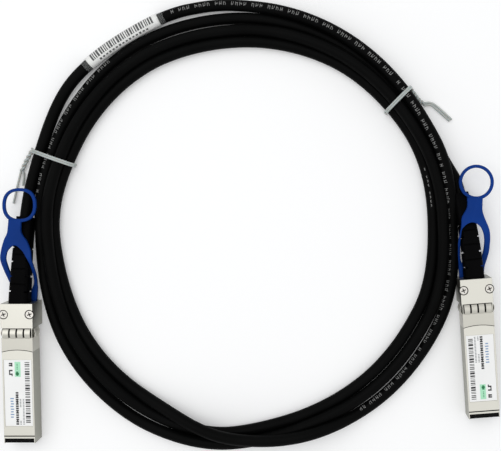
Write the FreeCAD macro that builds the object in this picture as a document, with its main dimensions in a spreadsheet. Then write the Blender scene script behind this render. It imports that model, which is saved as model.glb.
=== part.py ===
"""Direct attach copper cable: two latching plugs on one coiled twin-axial cable.

Every size below is in millimetres.  The document's frame has +X to the right, +Y from the
plugs towards the top of the coil and +Z up, and its origin is on the surface that the cable
lies on, under the middle of the two plugs.  A plug is drawn in a frame of its own: x across,
y from the host's side (negative) to the cable's side (positive) with zero at the shoulder
where the nose meets the slim body, and z up from the slim body's underside.
"""
import FreeCAD, Part
import math
import os
import re

import Sketcher
from FreeCAD import Placement, Rotation, Vector

DRIVING = {
    "body_width": (13.55, "slim body that goes into the cage"),
    "body_height": (8.5, "slim body"),
    "body_length": (51.0, "slim body, from the nose's shoulder to the host's end"),
    "nose_width": (14.0, "nose that stays outside the cage"),
    "nose_length": (10.7, "nose"),
    "nose_drop": (3.5, "how far the nose hangs below the slim body"),
    "parting_height": (2.2, "where the two shells meet, above the underside"),
    "edge_round": (0.2, "round along the shells' long top and bottom edges"),
    "cavity_half": (5.8, "half width of the room inside the slim body"),
    "cavity_top": (7.2, "ceiling of the room inside"),
    "cavity_floor": (1.0, "floor of the room inside"),
    "cavity_rear": (2.5, "where the room narrows inside the nose"),
    "throat_half": (3.4, "half width of the room inside the nose"),
    "throat_rear": (9.2, "inner face of the nose's rear wall"),
    "cable_height": (3.785, "height of the cable's axis in the nose"),
    "exit_radius": (3.0, "round exit for the cable"),
    "mouth_length": (2.2, "host's end, where the black guard shows"),
    "mouth_half": (6.445, "half width between the thin side walls at the host's end"),
    "groove_near": (47.6, "cross groove, from the shoulder"),
    "groove_far": (47.9, "cross groove, from the shoulder"),
    "groove_depth": (0.15, "cross groove"),
    "label_near": (13.75, "label recess, from the shoulder"),
    "label_far": (43.4, "label recess, from the shoulder"),
    "label_half": (6.1, "half width of the label recess"),
    "label_depth": (0.2, "label recess"),
    "label_sheet": (0.1, "thickness of the label"),
    "collar_length": (10.3, "spring collar, from the shoulder"),
    "collar_arch": (0.9, "how far the collar's front edge arches back in the middle"),
    "collar_sheet": (0.2, "sheet of the spring collar"),
    "collar_seat": (0.22, "depth of the collar's seat in the shells"),
    "finger_root": (4.2, "where the fingers leave the collar's band"),
    "finger_tip": (0.35, "gap from the fingers' tips to the shoulder"),
    "finger_bow": (0.8, "how far a finger bows out"),
    "finger_width": (2.4, "finger"),
    "finger_pitch": (3.14, "from finger to finger"),
    "finger_well": (0.7, "well under the fingers"),
    "well_half": (6.3, "half width of the well under the top fingers"),
    "screw_side": (5.65, "screws, out from the middle"),
    "screw_back": (6.05, "screws, back from the shoulder"),
    "screw_seat": (2.05, "radius of the counterbore"),
    "screw_seat_depth": (0.7, "counterbore"),
    "screw_head": (1.65, "radius of the head"),
    "screw_head_high": (0.55, "height of the head"),
    "screw_shank": (0.8, "radius of the shank"),
    "screw_length": (7.2, "under the head"),
    "recess_slot": (0.45, "width of the cross recess"),
    "recess_span": (2.1, "length of the cross recess"),
    "latch_half": (2.5, "half width of the latch rocker"),
    "channel_half": (2.7, "half width of the rocker's channel"),
    "pivot_back": (1.2, "latch pin, back from the shoulder"),
    "pivot_drop": (0.9, "latch pin, below the slim body's underside"),
    "pin_radius": (0.5, "latch pin"),
    "pin_play": (0.04, "running clearance round the latch pin"),
    "pin_half": (4.1, "half length of the latch pin"),
    "boss_drop": (1.15, "latch boss, below the underside"),
    "slot_inner": (2.95, "slider slots, inner wall"),
    "slot_outer": (5.65, "slider slots, outer wall"),
    "slot_floor": (2.9, "slider slots, below the underside"),
    "slot_roof": (0.1, "slider slots, below the underside"),
    "arm_inner": (3.15, "slider arms and the tab's feet, inner face"),
    "arm_outer": (5.45, "slider arms and the tab's feet, outer face"),
    "arm_floor": (2.5, "slider arms, below the underside"),
    "arm_roof": (0.5, "slider arms, below the underside"),
    "arm_rear": (9.9, "where the slider's metal ends in the tab's feet"),
    "bar_front": (3.2, "slider's cross bar"),
    "bar_rear": (4.7, "slider's cross bar"),
    "bar_floor": (1.4, "slider's cross bar, below the underside"),
    "bar_roof": (0.35, "slider's cross bar, below the underside"),
    "card_half": (4.6, "half width of the paddle card"),
    "card_floor": (3.7, "underside of the paddle card"),
    "card_sheet": (1.0, "thickness of the paddle card"),
    "card_front": (49.7, "front edge of the paddle card, from the shoulder"),
    "pad_pitch": (0.8, "contact pads"),
    "cable_radius": (2.3, "cable over its jacket"),
    "boot_length": (37.0, "strain relief behind the nose"),
    "boot_half_wide": (4.3, "strain relief at the nose"),
    "boot_half_high": (3.7, "strain relief at the nose"),
    "boot_end_wide": (3.6, "strain relief at its end"),
    "boot_end_high": (3.3, "strain relief at its end"),
    "boot_slot": (0.75, "slots of the strain relief"),
    "tab_sheet": (1.4, "thickness of the pull tab"),
    "tab_bar": (1.4, "bar of the pull tab's ring"),
    "ring_radius": (7.65, "outer radius of the ring"),
    "coil_middle_x": (-3.6, "middle of the coil"),
    "coil_middle_y": (30.85, "middle of the coil"),
    "coil_half_x": (87.7, "middle turn of the coil"),
    "coil_half_y": (90.65, "middle turn of the coil"),
    "coil_half_wide": (5.7, "half width of the coil's bundle"),
    "sleeve_radius": (3.05, "clear sleeve over the marker"),
    "marker_radius": (2.65, "printed marker under the sleeve"),
    "sleeve_length": (37.6, "clear sleeve"),
    "marker_length": (33.0, "printed marker"),
    "tie_radius": (0.6, "tie wire over its coat"),
}

doc = FreeCAD.newDocument("direct_attach_cable")
sheet = doc.addObject("Spreadsheet::Sheet", "sizes")
for row, (alias, (value, note)) in enumerate(DRIVING.items(), start=1):
    sheet.set(f"A{row}", alias)
    sheet.set(f"B{row}", str(value))
    sheet.set(f"C{row}", note)
    sheet.setAlias(f"B{row}", alias)
doc.recompute()


def size(text):
    """Value of a sum such as 'nose_length - 2'; a term is a number or a name, with * or /."""
    total = 0.0
    for sign, term in re.findall(r"([+-]?)\s*([\w.]+(?:\s*[*/]\s*[\w.]+)*)", text.replace(" ", "")):
        value = 1.0
        for operator, word in re.findall(r"([*/]?)([\w.]+)", term):
            number = float(sheet.get(word)) if word in DRIVING else float(word)
            value = value / number if operator == "/" else value * number
        total += -value if sign == "-" else value
    return total


def bound(text):
    """The same sum as an expression on the sheet's cells."""
    return re.sub(r"[a-z_]+", lambda word: f"sizes.{word[0]}" if word[0] in DRIVING else word[0], text)


# ---------------------------------------------------------------------------------------------
# Sketched bodies


def new_body(label, place):
    """A PartDesign body with its own label, put where its plug lies."""
    body = doc.addObject("PartDesign::Body", label)
    body.Label = label
    body.Placement = place
    return body


def new_sketch(body, name, role, lift=None):
    """A sketch on one of the body's own planes, lifted along the plane's normal."""
    sketch = body.newObject("Sketcher::SketchObject", name)
    base = next(item for item in body.Origin.OriginFeatures if item.Role == role)
    sketch.AttachmentSupport = (base, "")
    sketch.MapMode = "FlatFace"
    if lift:
        sketch.setExpression("AttachmentOffset.Base.z", bound(lift))
    return sketch


def pin_point(sketch, geometry, position, across, along):
    """Tie a point of the sketch to the sketch's origin by two named sizes."""
    for kind, text in (("DistanceX", across), ("DistanceY", along)):
        index = sketch.addConstraint(Sketcher.Constraint(kind, -1, 1, geometry, position, size(text)))
        sketch.setExpression(f"Constraints[{index}]", bound(text))


def polygon(sketch, corners):
    """A closed outline through corners given as pairs of sums of named sizes."""
    points = [Vector(size(across), size(along), 0) for across, along in corners]
    first = sketch.GeometryCount
    for here, there in zip(points, points[1:] + points[:1]):
        sketch.addGeometry(Part.LineSegment(here, there), False)
    for number, (across, along) in enumerate(corners):
        following = first + (number + 1) % len(corners)
        sketch.addConstraint(Sketcher.Constraint("Coincident", first + number, 2, following, 1))
        pin_point(sketch, first + number, 1, across, along)


def rectangle(sketch, left, right, low, high):
    """A closed rectangle between named sizes."""
    polygon(sketch, [(left, low), (right, low), (right, high), (left, high)])


def circle(sketch, across, along, radius):
    """A circle whose middle and radius are named sizes."""
    middle = Vector(size(across), size(along), 0)
    index = sketch.addGeometry(Part.Circle(middle, Vector(0, 0, 1), size(radius)), False)
    pin_point(sketch, index, 3, across, along)
    ring = sketch.addConstraint(Sketcher.Constraint("Radius", index, size(radius)))
    sketch.setExpression(f"Constraints[{ring}]", bound(radius))


def pad(body, sketch, length, middle=False, back=False):
    """Add material: a sketch carried along its plane's normal."""
    feature = body.newObject("PartDesign::Pad", sketch.Name + "_pad")
    feature.Profile = sketch
    feature.Midplane = middle
    feature.Reversed = back
    feature.setExpression("Length", bound(length))
    doc.recompute()
    return feature


def pocket(body, sketch, length, middle=False, back=False):
    """Cut away a sketch's outline, and stop if nothing was cut."""
    before = body.Shape.Volume
    feature = body.newObject("PartDesign::Pocket", sketch.Name + "_pocket")
    feature.Profile = sketch
    feature.Midplane = middle
    feature.Reversed = back
    feature.setExpression("Length", bound(length))
    doc.recompute()
    if before - body.Shape.Volume < 1e-4:
        raise RuntimeError(f"{body.Label}: {sketch.Name} cuts nothing")
    return feature


def round_edges(body, radius, wanted):
    """Round the edges of the tip that the test picks."""
    tip = body.Tip
    names = [f"Edge{n}" for n, edge in enumerate(tip.Shape.Edges, start=1) if wanted(edge)]
    feature = body.newObject("PartDesign::Fillet", body.Name + "_round")
    feature.Base = (tip, names)
    feature.setExpression("Radius", bound(radius))
    doc.recompute()


def runs_along_y(edge):
    """True for a straight edge along the plug."""
    return isinstance(edge.Curve, Part.Line) and abs(edge.tangentAt(edge.FirstParameter).y) > 0.999


def plug_edge(height):
    """A test for the long outer edges at one height."""
    return lambda edge: runs_along_y(edge) and abs(edge.CenterOfMass.z - height) < 1e-6


def collar_seat(body):
    """The shallow seat on both sides that the spring collar lies in."""
    sides = new_sketch(body, body.Name + "_seat_sides", "XY_Plane", "0 - nose_drop")
    for sign, far in (("", "body_width"), ("-", "-body_width")):
        near = f"{sign}body_width/2{'-' if not sign else '+'}collar_seat"
        rectangle(sides, *sorted((near, far), key=size), "-collar_length", "0")
    pocket(body, sides, "body_height + nose_drop + 1", back=True)


def top_shell(side, place):
    """Cast upper half: slim body and nose, label recess, screw seats and a room inside."""
    body = new_body("top_shell_" + side, place)
    name = body.Name
    for part, near, far, wide in (("body", "-body_length", "0", "body_width"),
                                  ("nose", "0", "nose_length", "nose_width")):
        outline = new_sketch(body, f"{name}_{part}", "YZ_Plane")
        rectangle(outline, near, far, "parting_height", "body_height")
        pad(body, outline, wide, middle=True)
    round_edges(body, "edge_round", plug_edge(size("body_height")))

    room = new_sketch(body, name + "_room", "XY_Plane")
    polygon(room, [("-cavity_half", "-body_length"), ("cavity_half", "-body_length"),
                   ("cavity_half", "cavity_rear"), ("throat_half", "cavity_rear"),
                   ("throat_half", "throat_rear"), ("-throat_half", "throat_rear"),
                   ("-throat_half", "cavity_rear"), ("-cavity_half", "cavity_rear")])
    pocket(body, room, "cavity_top", back=True)
    cable_exit(body)
    mouth = new_sketch(body, name + "_mouth", "XY_Plane", "body_height")
    rectangle(mouth, "-mouth_half", "mouth_half", "-body_length", "-body_length + mouth_length")
    pocket(body, mouth, "body_height")
    collar_seat(body)

    shallow = (("label", "label_depth", "label_half", "label_far", "label_near"),
               ("groove", "groove_depth", "body_width", "groove_far", "groove_near"),
               ("well", "finger_well", "well_half", "finger_root", "0"))
    for part, depth, half, far, near in shallow:
        recess = new_sketch(body, f"{name}_{part}", "XY_Plane", "body_height")
        rectangle(recess, "-" + half, half, "-" + far, "-" + near if near != "0" else "0")
        pocket(body, recess, depth)
    seat = new_sketch(body, name + "_seat_top", "XY_Plane", "body_height")
    arch_outline(seat)
    pocket(body, seat, "collar_seat")
    for part, radius, depth in (("seats", "screw_seat", "screw_seat_depth"),
                                ("holes", "screw_shank", "body_height")):
        holes = new_sketch(body, f"{name}_{part}", "XY_Plane", "body_height")
        for across in ("-screw_side", "screw_side"):
            circle(holes, across, "screw_back", radius)
        pocket(body, holes, depth)
    return body


def arch_outline(sketch):
    """The collar's top outline: a rectangle whose front edge is a shallow arc."""
    half, far, arch = size("body_width"), size("collar_length"), size("collar_arch")
    rise = size("body_width/2")
    corners = [Vector(-half, 0, 0), Vector(-half, -far, 0), Vector(-rise, -far, 0),
               Vector(rise, -far, 0), Vector(half, -far, 0), Vector(half, 0, 0)]
    for here, there in ((0, 1), (1, 2), (3, 4), (4, 5), (5, 0)):
        sketch.addGeometry(Part.LineSegment(corners[here], corners[there]), False)
    sketch.addGeometry(Part.Arc(corners[2], Vector(0, arch - far, 0), corners[3]), False)


def cable_exit(body):
    """Round trough for the cable's ferrule, out through the nose's rear wall."""
    trough = new_sketch(body, body.Name + "_exit", "XZ_Plane")
    circle(trough, "0", "cable_height", "exit_radius")
    pocket(body, trough, "nose_length + 1")


def bottom_shell(side, place):
    """Cast lower half: floor, nose block, the latch's channel, the slider's slots and pin hole."""
    body = new_body("bottom_shell_" + side, place)
    name = body.Name
    for part, near, far, low, wide in (("body", "-body_length", "0", "0", "body_width"),
                                       ("nose", "0", "nose_length", "-nose_drop", "nose_width")):
        outline = new_sketch(body, f"{name}_{part}", "YZ_Plane")
        rectangle(outline, near, far, low, "parting_height")
        pad(body, outline, wide, middle=True)
    round_edges(body, "edge_round",
                lambda edge: runs_along_y(edge) and edge.CenterOfMass.z < size("parting_height - 1"))
    hump = new_sketch(body, name + "_hump", "YZ_Plane")
    rectangle(hump, "-13.2", "-0.6", "1", "3")
    pad(body, hump, "channel_half * 2 + 1.6", middle=True)

    room = new_sketch(body, name + "_room", "XY_Plane", "cavity_floor")
    rectangle(room, "-cavity_half", "cavity_half", "-body_length", "-14")
    pocket(body, room, "body_height", back=True)
    mouth = new_sketch(body, name + "_mouth", "XY_Plane", "cavity_floor - 0.1")
    rectangle(mouth, "-mouth_half", "mouth_half", "-body_length", "-body_length + mouth_length")
    pocket(body, mouth, "body_height", back=True)
    cable_exit(body)

    channel = new_sketch(body, name + "_channel", "YZ_Plane")
    polygon(channel, [("-12.3", "-nose_drop - 1"), ("-12.3", "2.35"), ("-11", "2.35"),
                      ("-0.1", "1.3"), ("0.3", "0.25"), ("8.3", "0.25"), ("8.3", "-nose_drop - 1")])
    pocket(body, channel, "channel_half * 2", middle=True)
    slots = new_sketch(body, name + "_slots", "XY_Plane", "-slot_floor")
    polygon(slots, [("-slot_outer", "2.3"), ("slot_outer", "2.3"), ("slot_outer", "nose_length + 1"),
                    ("slot_inner", "nose_length + 1"), ("slot_inner", "8.3"), ("-slot_inner", "8.3"),
                    ("-slot_inner", "nose_length + 1"), ("-slot_outer", "nose_length + 1")])
    pocket(body, slots, "slot_floor - slot_roof", back=True)
    hinge = new_sketch(body, name + "_hinge", "YZ_Plane")
    circle(hinge, "pivot_back", "-pivot_drop", "pin_radius")
    pocket(body, hinge, "pin_half * 2", middle=True)

    collar_seat(body)
    under = new_sketch(body, name + "_seat_under", "XY_Plane")
    rectangle(under, "channel_half + 0.3", "body_width", "-collar_length", "0")
    rectangle(under, "-body_width", "-channel_half - 0.3", "-collar_length", "0")
    pocket(body, under, "collar_seat", back=True)
    holes = new_sketch(body, name + "_holes", "XY_Plane", "parting_height")
    for across in ("-screw_side", "screw_side"):
        circle(holes, across, "screw_back", "screw_shank")
    pocket(body, holes, "1.7")
    return body


def card_guard(side, place):
    """Black lead-in frame round the paddle card at the host's end."""
    body = new_body("card_guard_" + side, place)
    frame = new_sketch(body, body.Name + "_frame", "XZ_Plane")
    rectangle(frame, "-mouth_half + 0.05", "mouth_half - 0.05", "cavity_floor", "body_height - 1")
    pad(body, frame, "body_length", back=False)
    trim = new_sketch(body, body.Name + "_trim", "XY_Plane", "-1")
    rectangle(trim, "-body_width", "body_width", "-body_length + 5", "1")
    pocket(body, trim, "body_height * 2", back=True)
    for sign, name in ((1, "left"), (-1, "right")):
        relief = new_sketch(body, f"{body.Name}_{name}", "XY_Plane", "-1")
        near, far = ("cavity_half - 0.1", "body_width") if sign > 0 else ("-body_width", "-cavity_half + 0.1")
        rectangle(relief, near, far, "-body_length + mouth_length - 0.1", "1")
        pocket(body, relief, "body_height * 2", back=True)
    for low, high, name in (("0", "cavity_floor + 0.1", "under"), ("cavity_top - 0.1", "body_height", "over")):
        relief = new_sketch(body, f"{body.Name}_{name}", "YZ_Plane")
        rectangle(relief, "-body_length + mouth_length - 0.1", "0", low, high)
        pocket(body, relief, "body_width * 2", middle=True)
    mouth = new_sketch(body, body.Name + "_mouth", "XZ_Plane", "body_length")
    rectangle(mouth, "-card_half - 0.35", "card_half + 0.35", "card_floor - 1.8", "card_floor + card_sheet + 1.6")
    pocket(body, mouth, "4")
    slit = new_sketch(body, body.Name + "_slit", "XZ_Plane")
    rectangle(slit, "-card_half", "card_half", "card_floor", "card_floor + card_sheet")
    pocket(body, slit, "body_length", back=True)
    return body


def paddle_card(side, place):
    """Circuit card whose front edge is the plug's contact edge."""
    body = new_body("paddle_card_" + side, place)
    plate = new_sketch(body, body.Name + "_plate", "XY_Plane", "card_floor")
    nose, bevel = "-card_front", "-card_front + 0.8"
    polygon(plate, [("-card_half + 0.6", nose), ("card_half - 0.6", nose), ("card_half", bevel),
                    ("card_half", "0.5"), ("-card_half", "0.5"), ("-card_half", bevel)])
    pad(body, plate, "card_sheet")
    return body


def latch_rocker(side, place):
    """Rocker under the plug: catch boss in front, pin eye, and a rear arm with a ramp."""
    body = new_body("latch_rocker_" + side, place)
    profile = new_sketch(body, body.Name + "_profile", "YZ_Plane")
    polygon(profile, [("-11.2", "0.85"), ("-11.2", "0.1"), ("-8.7", "-boss_drop"), ("-8.3", "-boss_drop"),
                      ("-8.3", "0.1"), ("-1.3", "0.1"), ("0", "-1.4"), ("0.6", "-1.8"), ("2", "-2"),
                      ("3", "-2.3"), ("7.6", "-2.3"), ("7.6", "-0.84"), ("7.3", "-0.84"),
                      ("4.75", "-1.5"), ("2.7", "-1.5"), ("2.1", "-0.5"), ("1.7", "-0.1"),
                      ("0.1", "-0.1"), ("-0.9", "0.85")])
    pad(body, profile, "latch_half * 2", middle=True)
    eye = new_sketch(body, body.Name + "_eye", "YZ_Plane")
    circle(eye, "pivot_back", "-pivot_drop", "pin_radius + pin_play")
    pocket(body, eye, "latch_half * 2 + 1", middle=True)
    return body


def slider(side, place):
    """Stamped metal slider: two arms beside the rocker and a cross bar over its ramp."""
    body = new_body("latch_slider_" + side, place)
    arms = new_sketch(body, body.Name + "_arms", "XY_Plane", "-arm_floor")
    rectangle(arms, "arm_inner", "arm_outer", "bar_front", "arm_rear")
    rectangle(arms, "-arm_outer", "-arm_inner", "bar_front", "arm_rear")
    arms_pad = body.newObject("PartDesign::Pad", body.Name + "_arms_pad")
    arms_pad.Profile = arms
    arms_pad.AllowMultiFace = True
    arms_pad.setExpression("Length", bound("arm_floor - arm_roof"))
    bar = new_sketch(body, body.Name + "_bar", "XY_Plane", "-bar_floor")
    rectangle(bar, "-arm_outer", "arm_outer", "bar_front", "bar_rear")
    pad(body, bar, "bar_floor - bar_roof")
    return body


# ---------------------------------------------------------------------------------------------
# Pieces made from primitives and booleans


def seat(item, label, place):
    """Give a finished sub-part its own label and its plug's place."""
    item.Label = label
    item.Placement = place
    return item


def box(name, across, along, up):
    """A block between pairs of sums of named sizes."""
    item = doc.addObject("Part::Box", name)
    for edge, axis, (low, high) in (("Length", "x", across), ("Width", "y", along), ("Height", "z", up)):
        item.setExpression(edge, f"({bound(high)}) - ({bound(low)})")
        item.setExpression(f"Placement.Base.{axis}", bound(low))
    return item


def rod(name, radius, length, at, towards):
    """A cylinder of named radius and length from a point towards a direction."""
    item = doc.addObject("Part::Cylinder", name)
    item.setExpression("Radius", bound(radius))
    item.setExpression("Height", bound(length))
    item.Placement = Placement(at, Rotation(Vector(0, 0, 1), towards))
    return item


def shape_feature(name, shape):
    """A drawn shape, such as a path or a section, as an object of the document."""
    item = doc.addObject("Part::Feature", name)
    item.Shape = shape
    return item


def joined(kind, name, pieces):
    """A boolean of several pieces: Part::MultiFuse, Part::MultiCommon or Part::Compound."""
    item = doc.addObject(kind, name)
    if kind == "Part::Compound":
        item.Links = pieces
    else:
        item.Shapes = pieces
    return item


def cut(name, base, tool):
    """Base less tool."""
    item = doc.addObject("Part::Cut", name)
    item.Base = base
    item.Tool = tool
    return item


def finger_face(root, tip, bow, sheet_thickness):
    """Bowed strip in the plane of y and z: two arcs a sheet apart."""
    middle = (root + tip) / 2
    outer = Part.Arc(Vector(0, root, 0), Vector(0, middle, bow), Vector(0, tip, 0))
    inner = Part.Arc(Vector(0, root, -sheet_thickness), Vector(0, middle, bow - sheet_thickness),
                     Vector(0, tip, -sheet_thickness))
    near = Part.LineSegment(inner.StartPoint, outer.StartPoint)
    far = Part.LineSegment(outer.EndPoint, inner.EndPoint)
    return Part.Face(Part.Wire([outer.toShape(), far.toShape(), inner.toShape(), near.toShape()]))


def emi_collar(side, place):
    """Spring collar: a sheet band round the body with a comb of bowed fingers behind it."""
    name = "emi_collar_" + side
    half, top = "body_width/2", "body_height"
    outer = box(name + "_outer", ("-" + half, half), ("-collar_length", "-finger_root"), ("0", top))
    inner = box(name + "_inner", (f"-{half} + collar_sheet", f"{half} - collar_sheet"),
                ("-collar_length - 1", "0"), ("collar_sheet", f"{top} - collar_sheet"))
    gap = box(name + "_gap", ("-channel_half - 0.35", "channel_half + 0.35"),
              ("-collar_length - 1", "0"), ("-1", "1"))
    far, arch = size("collar_length"), size("collar_arch")
    rise = size(half)
    bow = Part.Arc(Vector(-rise, -far, 0), Vector(0, arch - far, 0), Vector(rise, -far, 0))
    chord = Part.LineSegment(bow.EndPoint, bow.StartPoint)
    lens = Part.Face(Part.Wire([bow.toShape(), chord.toShape()]))
    notch = shape_feature(name + "_arch", lens.extrude(Vector(0, 0, 1)))
    notch.Placement = Placement(Vector(0, 0, size(top) - 0.5), Rotation())
    band = cut(name + "_band", outer, joined("Part::MultiFuse", name + "_voids", [inner, gap, notch]))

    strip = finger_face(-size("finger_root") - 0.3, -size("finger_tip"), size("finger_bow"),
                        size("collar_sheet"))
    wide, pitch = size("finger_width"), size("finger_pitch")
    middle = size(top) / 2
    seats = [(Rotation(), Vector((n - 1.5) * pitch, 0, size(top))) for n in range(4)]
    seats += [(Rotation(Vector(0, 1, 0), 180), Vector(x, 0, 0)) for x in (-1.5 * pitch, 1.5 * pitch)]
    for turn, reach in ((90, rise), (-90, -rise)):
        seats += [(Rotation(Vector(0, 1, 0), turn), Vector(reach, 0, middle + step * pitch))
                  for step in (-0.5, 0.5)]
    fingers = []
    for number, (turn, at) in enumerate(seats):
        blade = shape_feature(f"{name}_finger_{number}",
                              strip.translated(Vector(-wide / 2, 0, 0)).extrude(Vector(wide, 0, 0)))
        blade.Placement = Placement(at, turn)
        fingers.append(blade)
    return seat(joined("Part::MultiFuse", name, [band] + fingers), name, place)


def plug_label(side, place):
    """Printed label in its recess."""
    name = "plug_label_" + side
    floor = "body_height - label_depth"
    item = box(name + "_blank", ("-label_half + 0.1", "label_half - 0.1"),
               ("-label_far + 0.15", "-label_near - 0.15"), (floor, floor + " + label_sheet"))
    group = joined("Part::Compound", name + "_sheet", [item])
    return seat(group, name, place)


def cover_screws(side, place):
    """Two cross-recess screws that hold the shells together."""
    name = "cover_screws_" + side
    top = size("body_height - screw_seat_depth")
    screws = []
    for number, sign in enumerate((-1, 1)):
        at = Vector(sign * size("screw_side"), size("screw_back"), top)
        head = rod(f"{name}_head_{number}", "screw_head", "screw_head_high", at, Vector(0, 0, 1))
        shank = rod(f"{name}_shank_{number}", "screw_shank - 0.03", "screw_length",
                    at + Vector(0, 0, 0.01), Vector(0, 0, -1))
        slots = []
        for turn in (20, 110):
            slot = doc.addObject("Part::Box", f"{name}_slot_{number}_{turn}")
            slot.setExpression("Length", bound("recess_span"))
            slot.setExpression("Width", bound("recess_slot"))
            slot.Height = 1
            turned = Rotation(Vector(0, 0, 1), turn)
            corner = turned.multVec(Vector(-size("recess_span/2"), -size("recess_slot/2"), 0))
            slot.Placement = Placement(at + corner + Vector(0, 0, 0.2), turned)
            slots.append(slot)
        blank = joined("Part::MultiFuse", f"{name}_blank_{number}", [head, shank])
        screws.append(cut(f"{name}_{number}", blank, joined("Part::MultiFuse", f"{name}_x_{number}", slots)))
    return seat(joined("Part::Compound", name, screws), name, place)


def card_contacts(side, place):
    """Gold pads on both faces of the paddle card's front edge."""
    name = "card_contacts_" + side
    pads = []
    for level, (low, high) in enumerate((("card_floor - 0.05", "card_floor"),
                                         ("card_floor + card_sheet", "card_floor + card_sheet + 0.05"))):
        for number in range(10):
            middle = f"{number - 4.5} * pad_pitch"
            pads.append(box(f"{name}_{level}_{number}", (middle + " - 0.25", middle + " + 0.25"),
                            ("-card_front + 0.9", "-card_front + 2.6"), (low, high)))
    return seat(joined("Part::Compound", name, pads), name, place)


def solder_block(side, place):
    """Moulded block over the wires' joints at the rear of the card."""
    name = "solder_block_" + side
    block = box(name + "_blank", ("-card_half", "card_half"), ("-4", "2.2"), ("card_floor - 0.6", "card_floor + 2.4"))
    room = box(name + "_card", ("-card_half", "card_half"), ("-5", "0.5"), ("card_floor", "card_floor + card_sheet"))
    return seat(cut(name, block, room), name, place)


def core_wires(side, place):
    """Four insulated cores from the ferrule to the card."""
    name = "core_wires_" + side
    reach = size("cable_height")
    cores = []
    for number in range(4):
        across = (number - 1.5) * 1.1
        at = Vector(across, 2.2, reach + 0.35)
        cores.append(rod(f"{name}_{number}", "pin_radius - 0.05", "3.1", at, Vector(0, 1, 0)))
    return seat(joined("Part::Compound", name, cores), name, place)


def crimp_ferrule(side, place):
    """Metal ring crimped round the cable's screen inside the nose."""
    name = "crimp_ferrule_" + side
    at = Vector(0, 5.3, size("cable_height"))
    ring = rod(name + "_ring", "cable_radius + 0.5", "3.8", at, Vector(0, 1, 0))
    bore = rod(name + "_bore", "cable_radius + 0.02", "6", at - Vector(0, 1, 0), Vector(0, 1, 0))
    return seat(cut(name, ring, bore), name, place)


def latch_pin(side, place):
    """Cross pin that the rocker turns on."""
    name = "latch_pin_" + side
    at = Vector(-size("pin_half"), size("pivot_back"), -size("pivot_drop"))
    pin = rod(name + "_rod", "pin_radius", "pin_half * 2", at, Vector(1, 0, 0))
    return seat(joined("Part::Compound", name, [pin]), name, place)


def latch_spring(side, place):
    """Bent leaf between the channel's roof and the rocker's back."""
    name = "latch_spring_" + side
    thick, half = 0.16, 1.4
    line = [Vector(0, -10.9, 2.3), Vector(0, -9.6, 2.17), Vector(0, -5.6, 0.90), Vector(0, -4.4, 0.90)]
    under = [point - Vector(0, 0, 0) for point in line]
    over = [point + Vector(0, 0, thick) for point in line]
    over[0] = Vector(0, -10.9, 2.34)
    over[1] = Vector(0, -9.5, 2.2)
    under[0] = over[0] - Vector(0, 0, thick)
    under[1] = over[1] - Vector(0, 0, thick)
    face = Part.Face(Part.makePolygon(under + over[::-1] + under[:1]))
    return seat(shape_feature(name, face.translated(Vector(-half, 0, 0)).extrude(Vector(2 * half, 0, 0))),
                name, place)


# ---------------------------------------------------------------------------------------------
# Cable, strain reliefs and pull tabs


def tube(name, wire, radius):
    """A round bar of one radius along a path."""
    first = wire.OrderedEdges[0]
    towards = first.tangentAt(first.FirstParameter)
    rim = Part.Wire([Part.Circle(first.valueAt(first.FirstParameter), towards, radius).toShape()])
    return shape_feature(name, wire.makePipeShell([rim], True, False))


def bent_path(corners):
    """Straight runs joined by tangent arcs; gives the wire and the smallest arc radius."""
    pieces, start, smallest = [], corners[0], 1e9
    for before, corner, after in zip(corners, corners[1:], corners[2:]):
        come, leave = corner - before, after - corner
        reach = 0.45 * min(come.Length, leave.Length)
        half = come.getAngle(leave) / 2
        come.normalize()
        leave.normalize()
        radius = reach / math.tan(half)
        smallest = min(smallest, radius)
        inwards = leave - come
        inwards.normalize()
        near, far = corner - come * reach, corner + leave * reach
        middle = corner + inwards * (radius / math.cos(half) - radius)
        pieces += [Part.LineSegment(start, near).toShape(), Part.Arc(near, middle, far).toShape()]
        start = far
    pieces.append(Part.LineSegment(start, corners[-1]).toShape())
    return Part.Wire(pieces), smallest


def lead(name, corners):
    """One uncoiled stretch of the cable, with its radii and its volume printed."""
    wire, smallest = bent_path(corners)
    radius = size("cable_radius")
    item = tube(name, wire, radius)
    wanted = math.pi * radius ** 2 * wire.Length
    print(f"{name}: length {wire.Length:.1f}, smallest bend {smallest:.1f}, "
          f"volume {item.Shape.Volume:.0f} of {wanted:.0f}")
    return seat(item, name, Placement())


def rounded_section(half_wide, half_high, corner):
    """Rounded rectangle about the origin in the plane of x and y."""
    w, h, r = half_wide, half_high, corner
    k = r * (1 - math.sqrt(0.5))
    edges = []
    for n, (sx, sy) in enumerate(((1, 1), (-1, 1), (-1, -1), (1, -1))):
        flat, tall = Vector(sx * (w - r), sy * h, 0), Vector(sx * w, sy * (h - r), 0)
        ends = (tall, flat) if n % 2 == 0 else (flat, tall)
        edges.append(Part.Arc(ends[0], Vector(sx * (w - k), sy * (h - k), 0), ends[1]))
    wire = []
    for here, there in zip(edges, edges[1:] + edges[:1]):
        wire += [here.toShape(), Part.LineSegment(here.EndPoint, there.StartPoint).toShape()]
    return Part.Wire(wire)


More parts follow.
